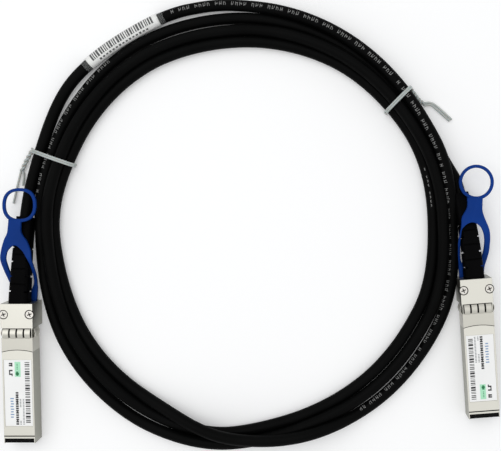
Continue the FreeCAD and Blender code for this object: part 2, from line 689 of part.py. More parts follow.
class Plug:
    """Where one plug lies and how the cable and the pull tab leave it."""

    pitch = math.atan2(size("nose_drop"), size("body_length"))

    def __init__(self, side, x, y, yaw, drift, end_slope):
        self.side = side
        self.place = Placement(Vector(x, y, size("nose_drop") * math.cos(self.pitch)),
                               Rotation(yaw, 0, math.degrees(self.pitch)))
        nose, rise = size("nose_length"), math.tan(self.pitch)
        spots = [Vector(across, nose + back, self.local_height(nose + back, high))
                 for back, across, high in drift]
        self.axis = Part.BSplineCurve()
        self.axis.interpolate(Points=spots, InitialTangent=Vector(0, 10, 0),
                              FinalTangent=Vector(end_slope[0], 1, end_slope[1] - rise) * 10)

    def local_height(self, along, high):
        """Height in the plug's frame of a point at a height above the surface it lies on."""
        return (high - along * math.sin(self.pitch)) / math.cos(self.pitch) - size("nose_drop")

    def exit(self):
        """End of the strain relief and the way that the cable leaves it."""
        last = self.axis.LastParameter
        return (self.place.multVec(self.axis.value(last)),
                self.place.Rotation.multVec(self.axis.tangent(last)[0]))


def cable_end(plug):
    """The cable inside the nose and the strain relief."""
    begin = Vector(0, 5.35, size("cable_height"))
    line = Part.LineSegment(begin, plug.axis.value(0)).toShape()
    item = tube("cable_end_" + plug.side, Part.Wire([line, plug.axis.toShape()]), size("cable_radius"))
    return seat(item, item.Name, plug.place)


def strain_relief(plug):
    """Moulded strain relief: a tapering sleeve on the cable with pairs of slots."""
    name = "strain_relief_" + plug.side
    length = plug.axis.length()
    stations, frames = [], []

    def station(run):
        at = plug.axis.parameterAtDistance(run, plug.axis.FirstParameter)
        towards = plug.axis.tangent(at)[0]
        turn = Rotation(Vector(1, 0, 0), Vector(0, 0, 1), towards, "ZXY")
        return Placement(plug.axis.value(at), turn)

    for part in range(6):
        share = part / 5
        half = size("boot_half_wide") * (1 - share) + size("boot_end_wide") * share
        tall = size("boot_half_high") * (1 - share) + size("boot_end_high") * share
        section = rounded_section(half, tall, 1.9)
        section.Placement = station(length * share if part else 0.03)
        stations.append(section)
    blank = shape_feature(name + "_blank", Part.makeLoft(stations, True, False))
    bore = tube(name + "_bore", Part.Wire([plug.axis.toShape()]), size("cable_radius") + 0.03)
    tools = [bore]
    thin = size("boot_slot")
    for number, run in enumerate((4.9, 11.4, 17.8, 23.8)):
        for sign in (-1, 1):
            frames.append((run, Part.makeBox(3, 12, thin, Vector(sign * 4.3 - 1.5, -6, -thin / 2))))
            if number:
                frames.append((run - 3.3, Part.makeBox(12, 3, thin, Vector(-6, sign * 4.2 - 1.5, -thin / 2))))
    for number, (run, block) in enumerate(frames):
        slot = shape_feature(f"{name}_slot_{number}", block)
        slot.Placement = station(run)
        tools.append(slot)
    return seat(cut(name, blank, joined("Part::MultiFuse", name + "_tools", tools)), name, plug.place)


TAB_RISE = [(-0.75, -2.5, None), (3, -2.5, None), (5.5, 2.1, 1.5), (9, 3.6, 1.6), (12, 5.4, 1.6),
            (16, 8.0, 1.6), (19.5, 10.4, 1.4), (24, 10.1, 1.4), (30, 8.7, 1.4), (37, 7.9, 1.4),
            (50.5, 7.9, 1.4)]


def pull_tab(plug, left, right, hole_left, hole_right, ring_at):
    """Moulded pull tab: two legs beside the strain relief, a neck and a finger ring."""
    name = "pull_tab_" + plug.side
    nose = size("nose_length")
    foot_in, foot_out = size("arm_inner"), size("arm_outer")
    root = size("arm_rear") + 0.02 - nose
    outline = [(-foot_out, root), (-foot_out, 0.2)] + left + right[::-1] + [(foot_out, 0.2), (foot_out, root)]
    outline += [(foot_in, root)] + hole_right + hole_left[::-1] + [(-foot_in, root)]
    points = [Vector(across, nose + back, -12) for across, back in outline]
    legs = shape_feature(name + "_legs", Part.Face(Part.makePolygon(points + points[:1])).extrude(Vector(0, 0, 24)))
    middle = Vector(ring_at[0], nose + ring_at[1], -12)
    outer = rod(name + "_disc", "ring_radius", "24", middle, Vector(0, 0, 1))
    hole = rod(name + "_finger", "ring_radius - tab_bar", "26", middle - Vector(0, 0, 1), Vector(0, 0, 1))
    plan = joined("Part::MultiFuse", name + "_plan", [legs, cut(name + "_ring", outer, hole)])

    under, over = [], []
    for back, low, thick in TAB_RISE:
        along = nose + back
        floor = low if thick is None else plug.local_height(along, low)
        roof = -size("arm_roof") if thick is None else floor + thick
        under.append(Vector(-20, along, floor))
        over.append(Vector(-20, along, roof))
    profile = Part.Face(Part.makePolygon(under + over[::-1] + under[:1])).extrude(Vector(40, 0, 0))
    rise = shape_feature(name + "_rise", profile)
    return seat(joined("Part::MultiCommon", name, [plan, rise]), name, plug.place)


TAB_LEFT = {"a": [(-5.6, 0.3), (-5.5, 3), (-5.7, 6.6), (-6.4, 9.6), (-7.05, 13), (-7.5, 17), (-7.4, 21),
                  (-6.85, 24.4), (-6.1, 28), (-4.95, 30.3), (-4.7, 36)],
            "b": [(-5.6, 0.3), (-5.5, 3), (-5.6, 7), (-5.85, 16.5), (-5.3, 20), (-4.3, 23), (-3.8, 27), (-2.6, 28.5),
                  (-1.0, 30.5), (-0.6, 32.5), (-0.6, 35.2)]}
TAB_RIGHT = {"a": [(6.0, 0.3), (6.1, 3), (6.5, 7), (6.8, 12), (6.3, 17), (5.8, 23), (4.0, 27), (1.7, 29.5),
                   (0.9, 31), (0.9, 36)],
             "b": [(5.6, 0.3), (5.7, 3), (7.3, 7.3), (8.1, 10.9), (8.2, 16.5), (7.6, 21.5), (6.3, 25.5),
                   (5.5, 29), (6.4, 35.2)]}
HOLE_LEFT = {"a": [(-2.9, 0.3), (-3.2, 5), (-4.2, 7.5), (-4.4, 11), (-4.9, 14.5), (-5.05, 18), (-4.2, 22),
                   (-2.6, 24.2)],
             "b": [(-2.9, 0.3), (-3.2, 5), (-4.6, 7.5), (-4.75, 11), (-4.95, 17.4), (-4.6, 20.5), (-3.6, 22.3),
                   (-2.2, 23.5), (0.1, 24.2)]}
HOLE_RIGHT = {"a": [(2.9, 0.3), (3.2, 5), (4.7, 7.5), (5.1, 10.9), (5.0, 15), (4.7, 18), (4.0, 20), (2.0, 22.6),
                    (-0.8, 24.2)],
              "b": [(2.9, 0.3), (3.2, 5), (4.7, 7.5), (5.6, 12), (5.7, 15.5), (5.3, 18.5), (4.3, 21.2),
                    (3.0, 23.3), (2.0, 24.2)]}
RING = {"a": (0.0, 42.6), "b": (4.1, 41.7)}
BOOT_HIGH = ((0, 8.0), (10, 8.0), (20, 6.8), (30, 4.7), (37, 3.8))
BOOT_DRIFT = {"a": (0, 0.5, 0.6, 0.75, 0.95), "b": (0, -0.3, -0.7, -1.7, -2.65)}
END_SLOPE = {"a": (0.06, -0.1), "b": (-0.15, -0.1)}
PLUG_AT = {"a": (-101.45, -10.04, 0.0), "b": (98.68, 0.77, 4.3)}

handed_in = []
plugs = {}
for side, (x, y, yaw) in PLUG_AT.items():
    drift = [(back, across, high) for (back, high), across in zip(BOOT_HIGH, BOOT_DRIFT[side])]
    plug = plugs[side] = Plug(side, x, y, yaw, drift, END_SLOPE[side])
    for make in (top_shell, bottom_shell, emi_collar, card_guard, paddle_card, card_contacts, solder_block,
                 core_wires, crimp_ferrule, cover_screws, plug_label, latch_rocker, latch_pin, latch_spring,
                 slider):
        handed_in.append(make(side, plug.place))
    handed_in += [cable_end(plug), strain_relief(plug),
                  pull_tab(plug, TAB_LEFT[side], TAB_RIGHT[side], HOLE_LEFT[side], HOLE_RIGHT[side], RING[side])]


def oval(extra):
    """The coil's middle line, widened: an ellipse that lies at the cable's own height."""
    middle = Vector(size("coil_middle_x"), size("coil_middle_y"), size("cable_radius"))
    return middle, size("coil_half_x") + extra, size("coil_half_y") + extra


def on_oval(extra, degrees):
    """A point of the widened ellipse and the clockwise direction there."""
    middle, wide, tall = oval(extra)
    turn = math.radians(degrees)
    point = middle + Vector(wide * math.cos(turn), tall * math.sin(turn), 0)
    towards = Vector(wide * math.sin(turn), -tall * math.cos(turn), 0)
    towards.normalize()
    return point, towards


def oval_wire(extra, first=None, last=None):
    """The widened ellipse, or its part between two angles in degrees."""
    middle, wide, tall = oval(extra)
    far, near = Vector(0, tall, 0), Vector(wide, 0, 0)
    curve = Part.Ellipse(middle + far, middle + near, middle)
    if first is None:
        return Part.Wire([curve.toShape()])
    ends = [curve.parameter(on_oval(extra, degrees)[0]) for degrees in (first, last)]
    return Part.Wire([curve.toShape(*sorted(ends))])


OUTER = 7.9
TRACK = (70, 38)
path = oval_wire(0)
edge = path.Edges[0]
start, towards = edge.valueAt(edge.FirstParameter), edge.tangentAt(edge.FirstParameter)
section = rounded_section(size("coil_half_wide"), size("cable_radius"), size("cable_radius") - 0.001)
section.Placement = Placement(start, Rotation(Vector(0, 0, 1).cross(towards), Vector(0, 0, 1), towards, "ZXY"))
ring = shape_feature("coil_bundle", path.makePipeShell([section], True, False))
extra_pass = tube("coil_extra_pass", oval_wire(OUTER, *TRACK), size("cable_radius"))
coil = seat(joined("Part::MultiFuse", "cable_coil", [ring, extra_pass]), "cable_coil", Placement())

leave_a, way_a = plugs["a"].exit()
leave_b, way_b = plugs["b"].exit()
join_a, along_a = on_oval(OUTER, TRACK[0])
join_b, along_b = on_oval(OUTER, TRACK[1])
level = size("cable_radius")
LEAD_A = [leave_a, leave_a + way_a * 12, Vector(-95.6, 65.5, level), Vector(-86.09, 96.6, level),
          Vector(-28.83, 134.2, level), join_a - along_a * 28, join_a]
LEAD_B = [join_b, join_b + along_b * 16, leave_b + way_b * 12, leave_b]
lead_a, lead_b = lead("cable_lead_a", LEAD_A), lead("cable_lead_b", LEAD_B)

run = LEAD_A[4] - LEAD_A[3]
run.normalize()
centre = (LEAD_A[3] + LEAD_A[4]) / 2
printed = []
for name, length, outer, inner in (("cable_sleeve", "sleeve_length", "sleeve_radius", "marker_radius + 0.02"),
                                   ("cable_marker", "marker_length", "marker_radius", "cable_radius + 0.02")):
    begin = centre - run * size(length) / 2
    shell = rod(name + "_outer", outer, length, begin, run)
    core = rod(name + "_inner", inner, length + " + 2", begin - run, run)
    raised = seat(cut(name, shell, core), name, Placement())
    printed.append(raised)


def tie(name, inner, outer, knot, tail):
    """Doubled coated wire over the bundle, twisted together beside it."""
    wire = size("tie_radius")
    across = outer - inner
    across.normalize()
    aside = Vector(0, 0, 1).cross(across) * wire * 0.97
    high = Vector(0, 0, 2 * size("cable_radius") + wire + 0.25)
    foot = Vector(0, 0, wire + 0.1)
    strands = []
    for number, sign in enumerate((-1, 1)):
        shift = aside * sign
        loop = [inner + foot + shift, inner + high * 0.55 - across * 0.2 + shift, inner + high + across * 2.2 + shift,
                outer + high - across * 2.2 + shift, outer + high * 0.55 + across * 0.2 + shift,
                outer + foot + shift]
        strands.append(tube(f"{name}_strand_{number}", bent_path(loop)[0], wire))
    strands.append(tube(name + "_twist", bent_path(knot)[0], wire * 1.7))
    strands += [tube(f"{name}_tail_{n}", bent_path(points)[0], wire) for n, points in enumerate(tail)]
    return seat(joined("Part::MultiFuse", name, strands), name, Placement())


TIE_LEFT = tie("tie_left", Vector(-77.9, 60.6, 0), Vector(-98.5, 68.9, 0),
               [Vector(-99.3, 68.3, 1.7), Vector(-101.6, 63.8, 1.5), Vector(-103.4, 57.5, 1.1)],
               [[Vector(-102.8, 58.4, 1.0), Vector(-102.0, 55.0, 0.8), Vector(-102.9, 51.3, 0.7)],
                [Vector(-103.3, 58.2, 1.0), Vector(-104.9, 50.5, 0.7), Vector(-106.8, 43.4, 0.7)]])
TIE_RIGHT = tie("tie_right", Vector(60.6, 81.9, 0), Vector(73.6, 95.2, 0),
                [Vector(74.4, 95.4, 1.8), Vector(77.6, 91.6, 1.5), Vector(79.2, 89.6, 1.3)],
                [[Vector(78.8, 90.0, 1.1), Vector(82.4, 88.4, 0.9), Vector(89.5, 81.0, 0.7)],
                 [Vector(79.0, 89.2, 0.9), Vector(81.8, 87.2, 0.8), Vector(88.3, 80.4, 0.7)]])
handed_in += [lead_a, coil, lead_b] + printed + [TIE_LEFT, TIE_RIGHT]

doc.recompute()
whole = FreeCAD.BoundBox()
for item in handed_in:
    if not item.Label.startswith(("cable_", "tie_")) or item.Label.startswith("cable_end"):
        whole.add(item.Shape.optimalBoundingBox(False))
to_middle = Placement(-Vector(whole.Center.x, whole.Center.y, whole.ZMin), Rotation())
for item in handed_in:
    item.Placement = to_middle * item.Placement
print("plugs' box", whole, "moved by", to_middle.Base)
doc.recompute()
for item in doc.Objects:
    if {"Invalid", "Error"} & set(item.State):
        raise RuntimeError(f"{item.Label}: {item.State}")
os.makedirs("parts", exist_ok=True)
for item in handed_in:
    if item.Shape.isNull() or not item.Shape.isValid() or not item.Shape.Solids:
        raise RuntimeError(f"{item.Label}: no valid solid")
    item.Shape.exportStep(f"parts/{item.Label}.step")
print("pieces", len(handed_in), "solids", sum(len(item.Shape.Solids) for item in handed_in))
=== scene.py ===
"""Direct attach copper cable: a coiled black cable with a latching plug at each end.

Lengths are in millimetres.  Every number is written in the drawing frame, and MIDDLE is added when
a mesh or curve is made, because the row frame has its origin midway between the two plugs.  A plug's
own frame has x across, y towards the cable and z up, with y = 0 at the shoulder between the slim
body and the nose.
"""
import math

import bpy
import numpy as np
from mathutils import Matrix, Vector


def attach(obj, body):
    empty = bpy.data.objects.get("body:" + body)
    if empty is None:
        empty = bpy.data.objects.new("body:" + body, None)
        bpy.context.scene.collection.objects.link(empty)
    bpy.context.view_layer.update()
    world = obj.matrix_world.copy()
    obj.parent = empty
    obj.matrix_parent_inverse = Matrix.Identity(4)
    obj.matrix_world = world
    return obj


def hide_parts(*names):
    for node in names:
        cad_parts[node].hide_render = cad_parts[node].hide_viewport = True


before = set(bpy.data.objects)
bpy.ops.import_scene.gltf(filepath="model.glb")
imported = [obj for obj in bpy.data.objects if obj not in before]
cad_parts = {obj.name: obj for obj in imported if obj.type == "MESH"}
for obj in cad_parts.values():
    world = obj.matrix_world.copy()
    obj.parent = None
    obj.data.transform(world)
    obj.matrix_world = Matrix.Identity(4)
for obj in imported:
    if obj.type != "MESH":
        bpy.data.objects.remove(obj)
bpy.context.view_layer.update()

bl_info = {
    "name": "Direct attach copper cable",
    "version": (1, 0, 0),
    "blender": (4, 5, 0),
    "location": "View3D > Sidebar > Cable",
    "description": "Builds a coiled direct attach cable with two latching plugs on a pale floor",
    "category": "Add Mesh",
}

MIDDLE = np.array([-0.096741, 0.341626, 0.0])
METRES = 0.001

# The plugs: nose, slim body, and each shoulder's x, y and turn about z.
NOSE = 10.7
NOSE_DROP = 3.5
BODY_LENGTH = 51.0
PITCH = math.atan2(NOSE_DROP, BODY_LENGTH)
LIFT = NOSE_DROP * math.cos(PITCH)
PLUGS = {"a": (-101.45, -10.04, 0.0), "b": (98.68, 0.77, math.radians(4.3))}

# Radii of the cable and of the marker round it, and the height of a strand that lies on the floor.
CABLE = 2.6
MARKER = 2.85
LOW = CABLE + 0.05

# Uncoiled ends of the cable, from each strain relief to the coil.
LEAD_A = [(-100.5, 37.75, 3.8), (-99.75, 46.6, 3.0), (-97.2, 57.44, LOW), (-93.4, 70.3, LOW),
          (-89.7, 81.1, LOW), (-85.7, 90.1, LOW), (-80.9, 97.7, LOW), (-74.5, 104.35, 3.0),
          (-66.2, 111.2, 3.3), (-57.2, 117.2, 3.3), (-48.65, 122.15, 3.3), (-40.1, 126.55, 3.0),
          (-34.5, 128.75, LOW), (-28.65, 130.4, LOW), (-15.0, 132.6, LOW)]
LEAD_B = [(88.4, 58.5, LOW), (91.0, 54.4, 3.1), (92.45, 48.25, 3.8)]

# The coil has three turns and a last pass, up to END_ANGLE past the top, which leads into lead b.
COIL_MIDDLE = (-0.90, 32.97)
COIL_STEP = 7.5
END_ANGLE = 68

# Angle in degrees, the coil's inner edge, and the distance from its inner strand's middle to its outer
# one's.
COIL_AT = [(-190, 85.1, 7.0), (-180, 85.2, 5.6), (-170, 84.4, 6.7), (-160, 84.5, 8.3),
           (-150, 85.2, 9.4), (-140, 85.6, 10.1), (-130, 85.8, 10.5), (-120, 85.9, 10.8),
           (-110, 87.2, 8.9), (-100, 89.2, 6.2), (-90, 87.1, 6.9), (-80, 85.1, 7.7), (-70, 83.7, 9.2),
           (-60, 82.8, 10.5), (-50, 82.1, 10.9), (-40, 81.4, 10.8), (-30, 81.0, 10.8),
           (-20, 81.3, 10.2), (-10, 79.9, 9.5), (0, 79.3, 8.3), (10, 79.6, 7.9), (20, 80.4, 8.3),
           (30, 80.5, 7.6), (40, 80.1, 8.6), (50, 80.3, 9.8), (60, 80.6, 11.1), (70, 80.5, 12.8),
           (80, 80.5, 14.4), (90, 80.7, 15.6), (91, 80.7, 10.4), (100, 81.0, 10.7), (110, 81.8, 10.7),
           (120, 82.9, 10.4), (130, 83.3, 10.3), (140, 83.4, 9.6), (150, 83.5, 9.2), (160, 83.6, 8.2),
           (170, 85.0, 7.0)]


# ------------------------------------------------------------------------------------------
# Geometry helpers


def to_row(side, points):
    """Points of a plug's frame in the row frame: turned about x by PITCH, then about z by the yaw."""
    x0, y0, yaw = PLUGS[side]
    x, y, z = np.moveaxis(np.asarray(points, float), -1, 0)
    y, z = y * math.cos(PITCH) - z * math.sin(PITCH), y * math.sin(PITCH) + z * math.cos(PITCH)
    x, y = x * math.cos(yaw) - y * math.sin(yaw), x * math.sin(yaw) + y * math.cos(yaw)
    return np.stack([x + x0, y + y0, z + LIFT], -1)


def local_height(along, high):
    """Plug-frame z of a point y = along that is high above the floor."""
    return (high - along * math.sin(PITCH)) / math.cos(PITCH) - NOSE_DROP


def smooth(t):
    """3 t^2 - 2 t^3 for t clipped to 0..1."""
    t = np.clip(t, 0, 1)
    return t * t * (3 - 2 * t)


def make_mesh(name, points, faces, material, smooth_faces=True):
    """A mesh object from an (n, 3) array in millimetres and quads or triangles."""
    mesh = bpy.data.meshes.new(name)
    faces = [list(map(int, face)) for face in faces]
    mesh.from_pydata(((np.asarray(points) + MIDDLE) * METRES).tolist(), [], faces)
    mesh.polygons.foreach_set("use_smooth", [smooth_faces] * len(mesh.polygons))
    mesh.materials.append(material)
    mesh.update()
    item = bpy.data.objects.new(name, mesh)
    bpy.context.scene.collection.objects.link(item)
    return item


def grid_faces(rows, columns, wrap_columns=True, wrap_rows=False):
    """Quads between neighbouring points of a grid, closed round the columns and rows if asked."""
    i = np.arange(rows if wrap_rows else rows - 1)[:, None]
    j = np.arange(columns if wrap_columns else columns - 1)[None, :]
    k, m = (i + 1) % rows, (j + 1) % columns
    quads = np.stack([i * columns + j, i * columns + m, k * columns + m, k * columns + j], -1)
    return quads.reshape(-1, 4)


def capped(grid):
    """Points and faces of a tube given as a grid (rows, columns, 3), its two ends closed by fans."""
    rows, columns = grid.shape[:2]
    points = np.concatenate([grid.reshape(-1, 3), grid[0].mean(0)[None], grid[-1].mean(0)[None]])
    j = np.arange(columns)
    following = (j + 1) % columns
    last_row = (rows - 1) * columns
    near = np.stack([following, j, np.full(columns, rows * columns)], -1)
    far = np.stack([j + last_row, following + last_row, np.full(columns, rows * columns + 1)], -1)
    return points, grid_faces(rows, columns).tolist() + near.tolist() + far.tolist()


def side_and_up(tangent):
    """Unit arrays across a path from its tangents: side = z x tangent, up = tangent x side."""
    tangent = tangent / np.linalg.norm(tangent, axis=1, keepdims=True)
    side = np.cross([0.0, 0.0, 1.0], tangent)
    side /= np.linalg.norm(side, axis=1, keepdims=True)
    return side, np.cross(tangent, side)


def round_tube(path, radius, columns):
    """Circle of a radius, or one radius per row, carried along a path."""
    side, up = side_and_up(np.gradient(path, axis=0))
    turn = np.linspace(0, 2 * math.pi, columns, endpoint=False)
    radius = np.broadcast_to(radius, len(path))[:, None, None]
    ring = side[:, None] * np.cos(turn)[None, :, None] + up[:, None] * np.sin(turn)[None, :, None]
    return path[:, None] + radius * ring


def merged(parts):
    """Several (points, faces) pairs as one."""
    points, faces, start = [], [], 0
    for some, quads in parts:
        points.append(np.asarray(some))
        faces += [[v + start for v in quad] for quad in np.asarray(quads, object).tolist()]
        start += len(some)
    return np.concatenate(points), faces


def runs_of(path):
    """Distance along the path at each of its points."""
    return np.concatenate([[0], np.cumsum(np.linalg.norm(np.diff(path, axis=0), axis=1))])


def points_at(path, run, along):
    """Points of the path at distances along it, by straight lines between its points."""
    return np.stack([np.interp(along, run, path[:, k]) for k in range(3)], -1)


def smooth_path(corners, step):
    """Uniform Catmull-Rom curve through the corners, resampled evenly about every step mm."""
    corners = np.asarray(corners, float)
    padded = np.concatenate([2 * corners[:1] - corners[1:2], corners, 2 * corners[-1:] - corners[-2:-1]])
    t = np.linspace(0, 1, 24, endpoint=False)[:, None, None]
    p0, p1, p2, p3 = (padded[i:len(padded) - 3 + i][None] for i in range(4))
    curve = 0.5 * (2 * p1 + (p2 - p0) * t + (2 * p0 - 5 * p1 + 4 * p2 - p3) * t ** 2
                   + (3 * p1 - p0 - 3 * p2 + p3) * t ** 3)
    curve = np.concatenate([np.swapaxes(curve, 0, 1).reshape(-1, 3), corners[-1:]])
    run = runs_of(curve)
    return points_at(curve, run, np.linspace(0, run[-1], max(3, int(run[-1] / step))))


# ------------------------------------------------------------------------------------------
# Materials


GRAIN_SCALE = 900.0
GRAIN_DEPTH = 0.0003
SHADE_SCALE = 60


def finish_of(name, colour, rough, metallic=0.0, grain=0.0, shade=0.0, **sockets):
    """Procedural finish on object coordinates: fine bump of strength grain and a slow shade of colour."""
    material = bpy.data.materials.new(name)
    material.use_nodes = True
    tree = material.node_tree
    shader = tree.nodes["Principled BSDF"]
    shader.inputs["Base Color"].default_value = (*colour, 1)
    shader.inputs["Roughness"].default_value = rough
    shader.inputs["Metallic"].default_value = metallic
    for key, value in sockets.items():
        shader.inputs[key.replace("_", " ")].default_value = value
    where = tree.nodes.new("ShaderNodeTexCoord")
    if grain:
        noise = tree.nodes.new("ShaderNodeTexNoise")
        noise.inputs["Scale"].default_value = GRAIN_SCALE
        noise.inputs["Detail"].default_value = 3
        bump = tree.nodes.new("ShaderNodeBump")
        bump.inputs["Strength"].default_value = grain
        bump.inputs["Distance"].default_value = GRAIN_DEPTH
        tree.links.new(where.outputs["Object"], noise.inputs["Vector"])
        tree.links.new(noise.outputs["Fac"], bump.inputs["Height"])
        tree.links.new(bump.outputs["Normal"], shader.inputs["Normal"])
    if shade:
        slow = tree.nodes.new("ShaderNodeTexNoise")
        slow.inputs["Scale"].default_value = SHADE_SCALE
        ramp = tree.nodes.new("ShaderNodeValToRGB")
        for stop, share in zip(ramp.color_ramp.elements, (1 - shade, 1 + shade)):
            stop.color = (*[min(1, c * share) for c in colour], 1)
        ramp.color_ramp.elements[0].position = 0.35
        ramp.color_ramp.elements[1].position = 0.65
        tree.links.new(where.outputs["Object"], slow.inputs["Vector"])
        tree.links.new(slow.outputs["Fac"], ramp.inputs["Fac"])
        tree.links.new(ramp.outputs["Color"], shader.inputs["Base Color"])
    return material


def painted_side_shade(material, colour, painted_side_colour):
    """Painted shade: the colour of faces that look up, mixed by the height of their normal into a darker
    colour painted on the walls, so the sides look shaded.
    """
    tree = material.node_tree
    facing, split = tree.nodes.new("ShaderNodeNewGeometry"), tree.nodes.new("ShaderNodeSeparateXYZ")
    ramp = tree.nodes.new("ShaderNodeValToRGB")
    ramp.color_ramp.elements[0].position, ramp.color_ramp.elements[1].position = 0.35, 0.8
    for stop, shade in zip(ramp.color_ramp.elements, (painted_side_colour, colour)):
        stop.color = (*shade, 1)
    tree.links.new(facing.outputs["Normal"], split.inputs["Vector"])
    tree.links.new(split.outputs["Z"], ramp.inputs["Fac"])
    tree.links.new(ramp.outputs["Color"], tree.nodes["Principled BSDF"].inputs["Base Color"])
    return material


def library():
    """Every finish by name."""
    # The shell's walls get a darker colour by the height of their normal: painted shade on its sides, not a
    # colour of the nickel.
    nickel, painted_wall_shade = (0.60, 0.59, 0.535), (0.31, 0.31, 0.27)
    return {
        "cable": finish_of("cable_jacket", (0.0016, 0.0017, 0.0017), 0.5, grain=0.08, shade=0.25,
                           Specular_IOR_Level=0.035),
        "print": finish_of("cable_print", (0.20, 0.20, 0.195), 0.7, grain=0.1, Specular_IOR_Level=0.1),
        "boot": finish_of("boot_rubber", (0.0015, 0.0015, 0.0017), 0.5, grain=0.12, shade=0.2,
                          Specular_IOR_Level=0.02),
        "tab": finish_of("tab_blue", (0.004, 0.035, 0.21), 0.45, grain=0.06, shade=0.12,
                         Specular_IOR_Level=0.06),
        "shell": painted_side_shade(finish_of("shell_nickel_painted_side_shade", nickel, 0.36, 1.0, grain=0.06), nickel, painted_wall_shade),
        "spring": finish_of("spring_sheet", (0.50, 0.49, 0.44), 0.34, 1.0, grain=0.05),
        "steel": finish_of("steel_plain", (0.62, 0.61, 0.58), 0.3, 1.0, grain=0.05),
        "screw": finish_of("screw_plated", (0.60, 0.58, 0.54), 0.28, 1.0, grain=0.05),
        "latch": finish_of("latch_cast", (0.74, 0.71, 0.66), 0.36, 1.0, grain=0.07),
        "guard": finish_of("guard_black", (0.004, 0.004, 0.004), 0.5, grain=0.1, Specular_IOR_Level=0.05),
        "card": finish_of("card_mask", (0.02, 0.11, 0.05), 0.35, grain=0.05, shade=0.1),
        "gold": finish_of("contact_gold", (0.83, 0.60, 0.22), 0.25, 1.0, grain=0.02),
        "potting": finish_of("potting_black", (0.03, 0.03, 0.03), 0.6, grain=0.15),
        "core": finish_of("core_insulation", (0.6, 0.6, 0.58), 0.4, grain=0.03),
        "brass": finish_of("ferrule_brass", (0.70, 0.50, 0.24), 0.3, 1.0, grain=0.04),
        "label": finish_of("label_film", (0.92, 0.92, 0.91), 0.5, grain=0.04, shade=0.02),
        "ink": finish_of("label_ink", (0.02, 0.02, 0.022), 0.6, grain=0.05),
        "green": finish_of("label_green", (0.42, 0.80, 0.55), 0.55, grain=0.05),
        "leaf": finish_of("label_leaf", (0.03, 0.26, 0.10), 0.55, grain=0.05),
        # Colour of the painted shade sheets in the plugs' recesses and seams.
        "shade": finish_of("painted_shade", (0.012, 0.012, 0.011), 0.8, grain=0.05, Specular_IOR_Level=0.05),
        "sky": finish_of("label_blue", (0.20, 0.32, 0.52), 0.55, grain=0.05),
        "grey": finish_of("label_grey", (0.30, 0.31, 0.32), 0.6, grain=0.05),
        "marker": finish_of("marker_film", (0.86, 0.86, 0.84), 0.45, grain=0.04, shade=0.03),
        "clear": finish_of("sleeve_clear", (0.72, 0.74, 0.73), 0.2, grain=0.02, Alpha=0.05),
        "tie": finish_of("tie_coat", (0.42, 0.44, 0.42), 0.35, grain=0.12, shade=0.12, Subsurface_Weight=0.1),
    }


# ------------------------------------------------------------------------------------------
# Cable


def rest_over(gap):
    """Height in diameters of a strand that rests on another gap diameters beside it: sqrt(1.03 - gap^2)."""
    return np.sqrt(np.clip(1.03 - np.square(gap), 0, 1))


def strand_places(past):
    """Radii (4, n) of the first three turns and the last pass at running angles past the top.

    Each is the inner edge + CABLE + width * share, with these shares, eased between the angles named:
    the first turn lies outermost (1) and crosses the other two at 165 to 205 to lie innermost (0); the
    second goes from 0 to 0.48 at 172 to 208; the third goes from a third to 0.48 at 60 to 85 and to 1
    at 156 to 196; the last pass goes from two thirds to 0.97 at 40 to END_ANGLE.
    """
    theta = 90 - past
    wrapped = np.where(theta < COIL_AT[0][0], theta + 360, theta)
    table = np.array(COIL_AT)
    edge, width = (np.interp(wrapped, table[:, 0], table[:, k]) for k in (1, 2))
    shares = [1 - smooth((past - 165) / 40), 0.48 * smooth((past - 172) / 36),
              1 / 3 + 0.147 * smooth((past - 60) / 25) + 0.52 * smooth((past - 156) / 40),
              2 / 3 + 0.30 * smooth((past - 40) / 28) + 0.04 * np.clip(past - END_ANGLE, 0, None)]
    return edge + CABLE + width * np.array(shares)


def strand_heights(past, places):
    """Lifts (4, n) of the same strands: the one on top rests on its neighbours.

    Up to 100 past the top the first and the third turn may rest on the last pass, at 78 to 152 the
    third on the first, and up to 212 the third on the second.  At 152 to 212 the first turn rests on
    the other two while it crosses them, and from 212 on the second rests on its neighbours.
    """
    first, second, third, last = places / (2 * CABLE)
    on_last = np.where(past < 100, rest_over(first - last), 0)
    beside_last = np.where(past < 100, rest_over(third - last), 0)
    beside_first = np.where((past > 78) & (past < 152), rest_over(third - first), 0)
    beside_second = np.where(past < 212, rest_over(third - second), 0)
    high_third = np.maximum(np.maximum(beside_last, beside_first), beside_second)
    on_third = rest_over(first - third)
    on_third = on_third + high_third * np.minimum(1, 3 * on_third)
    crossing = np.where((past > 152) & (past < 212), np.maximum(rest_over(first - second), on_third), 0)
    middle = np.where(past > 212, np.maximum(rest_over(second - first), rest_over(third - second)), 0)
    return 2 * CABLE * np.array([on_last + crossing, middle, high_third, 0 * past])


def coil_points(first, last, step):
    """Points of the coil from one running angle to another; 0 is the top and it runs clockwise.

    A lifted strand is drawn inwards by 0.8 - 0.6 cos a for each diameter of its lift, where a is the
    angle from the coil's right.
    """
    phi = np.arange(first, last, step)
    turn = np.floor(phi / 360).astype(int)
    past = phi - 360 * turn
    places = strand_places(past)
    pick = np.arange(len(phi))
    lift = strand_heights(past, places)[turn, pick]
    a = np.radians(90 - past)
    radius = places[turn, pick] - lift / (2 * CABLE) * (0.8 - 0.6 * np.cos(a))
    x, y = COIL_MIDDLE[0] + radius * np.cos(a), COIL_MIDDLE[1] + radius * np.sin(a)
    return np.stack([x, y, LOW + lift], -1)


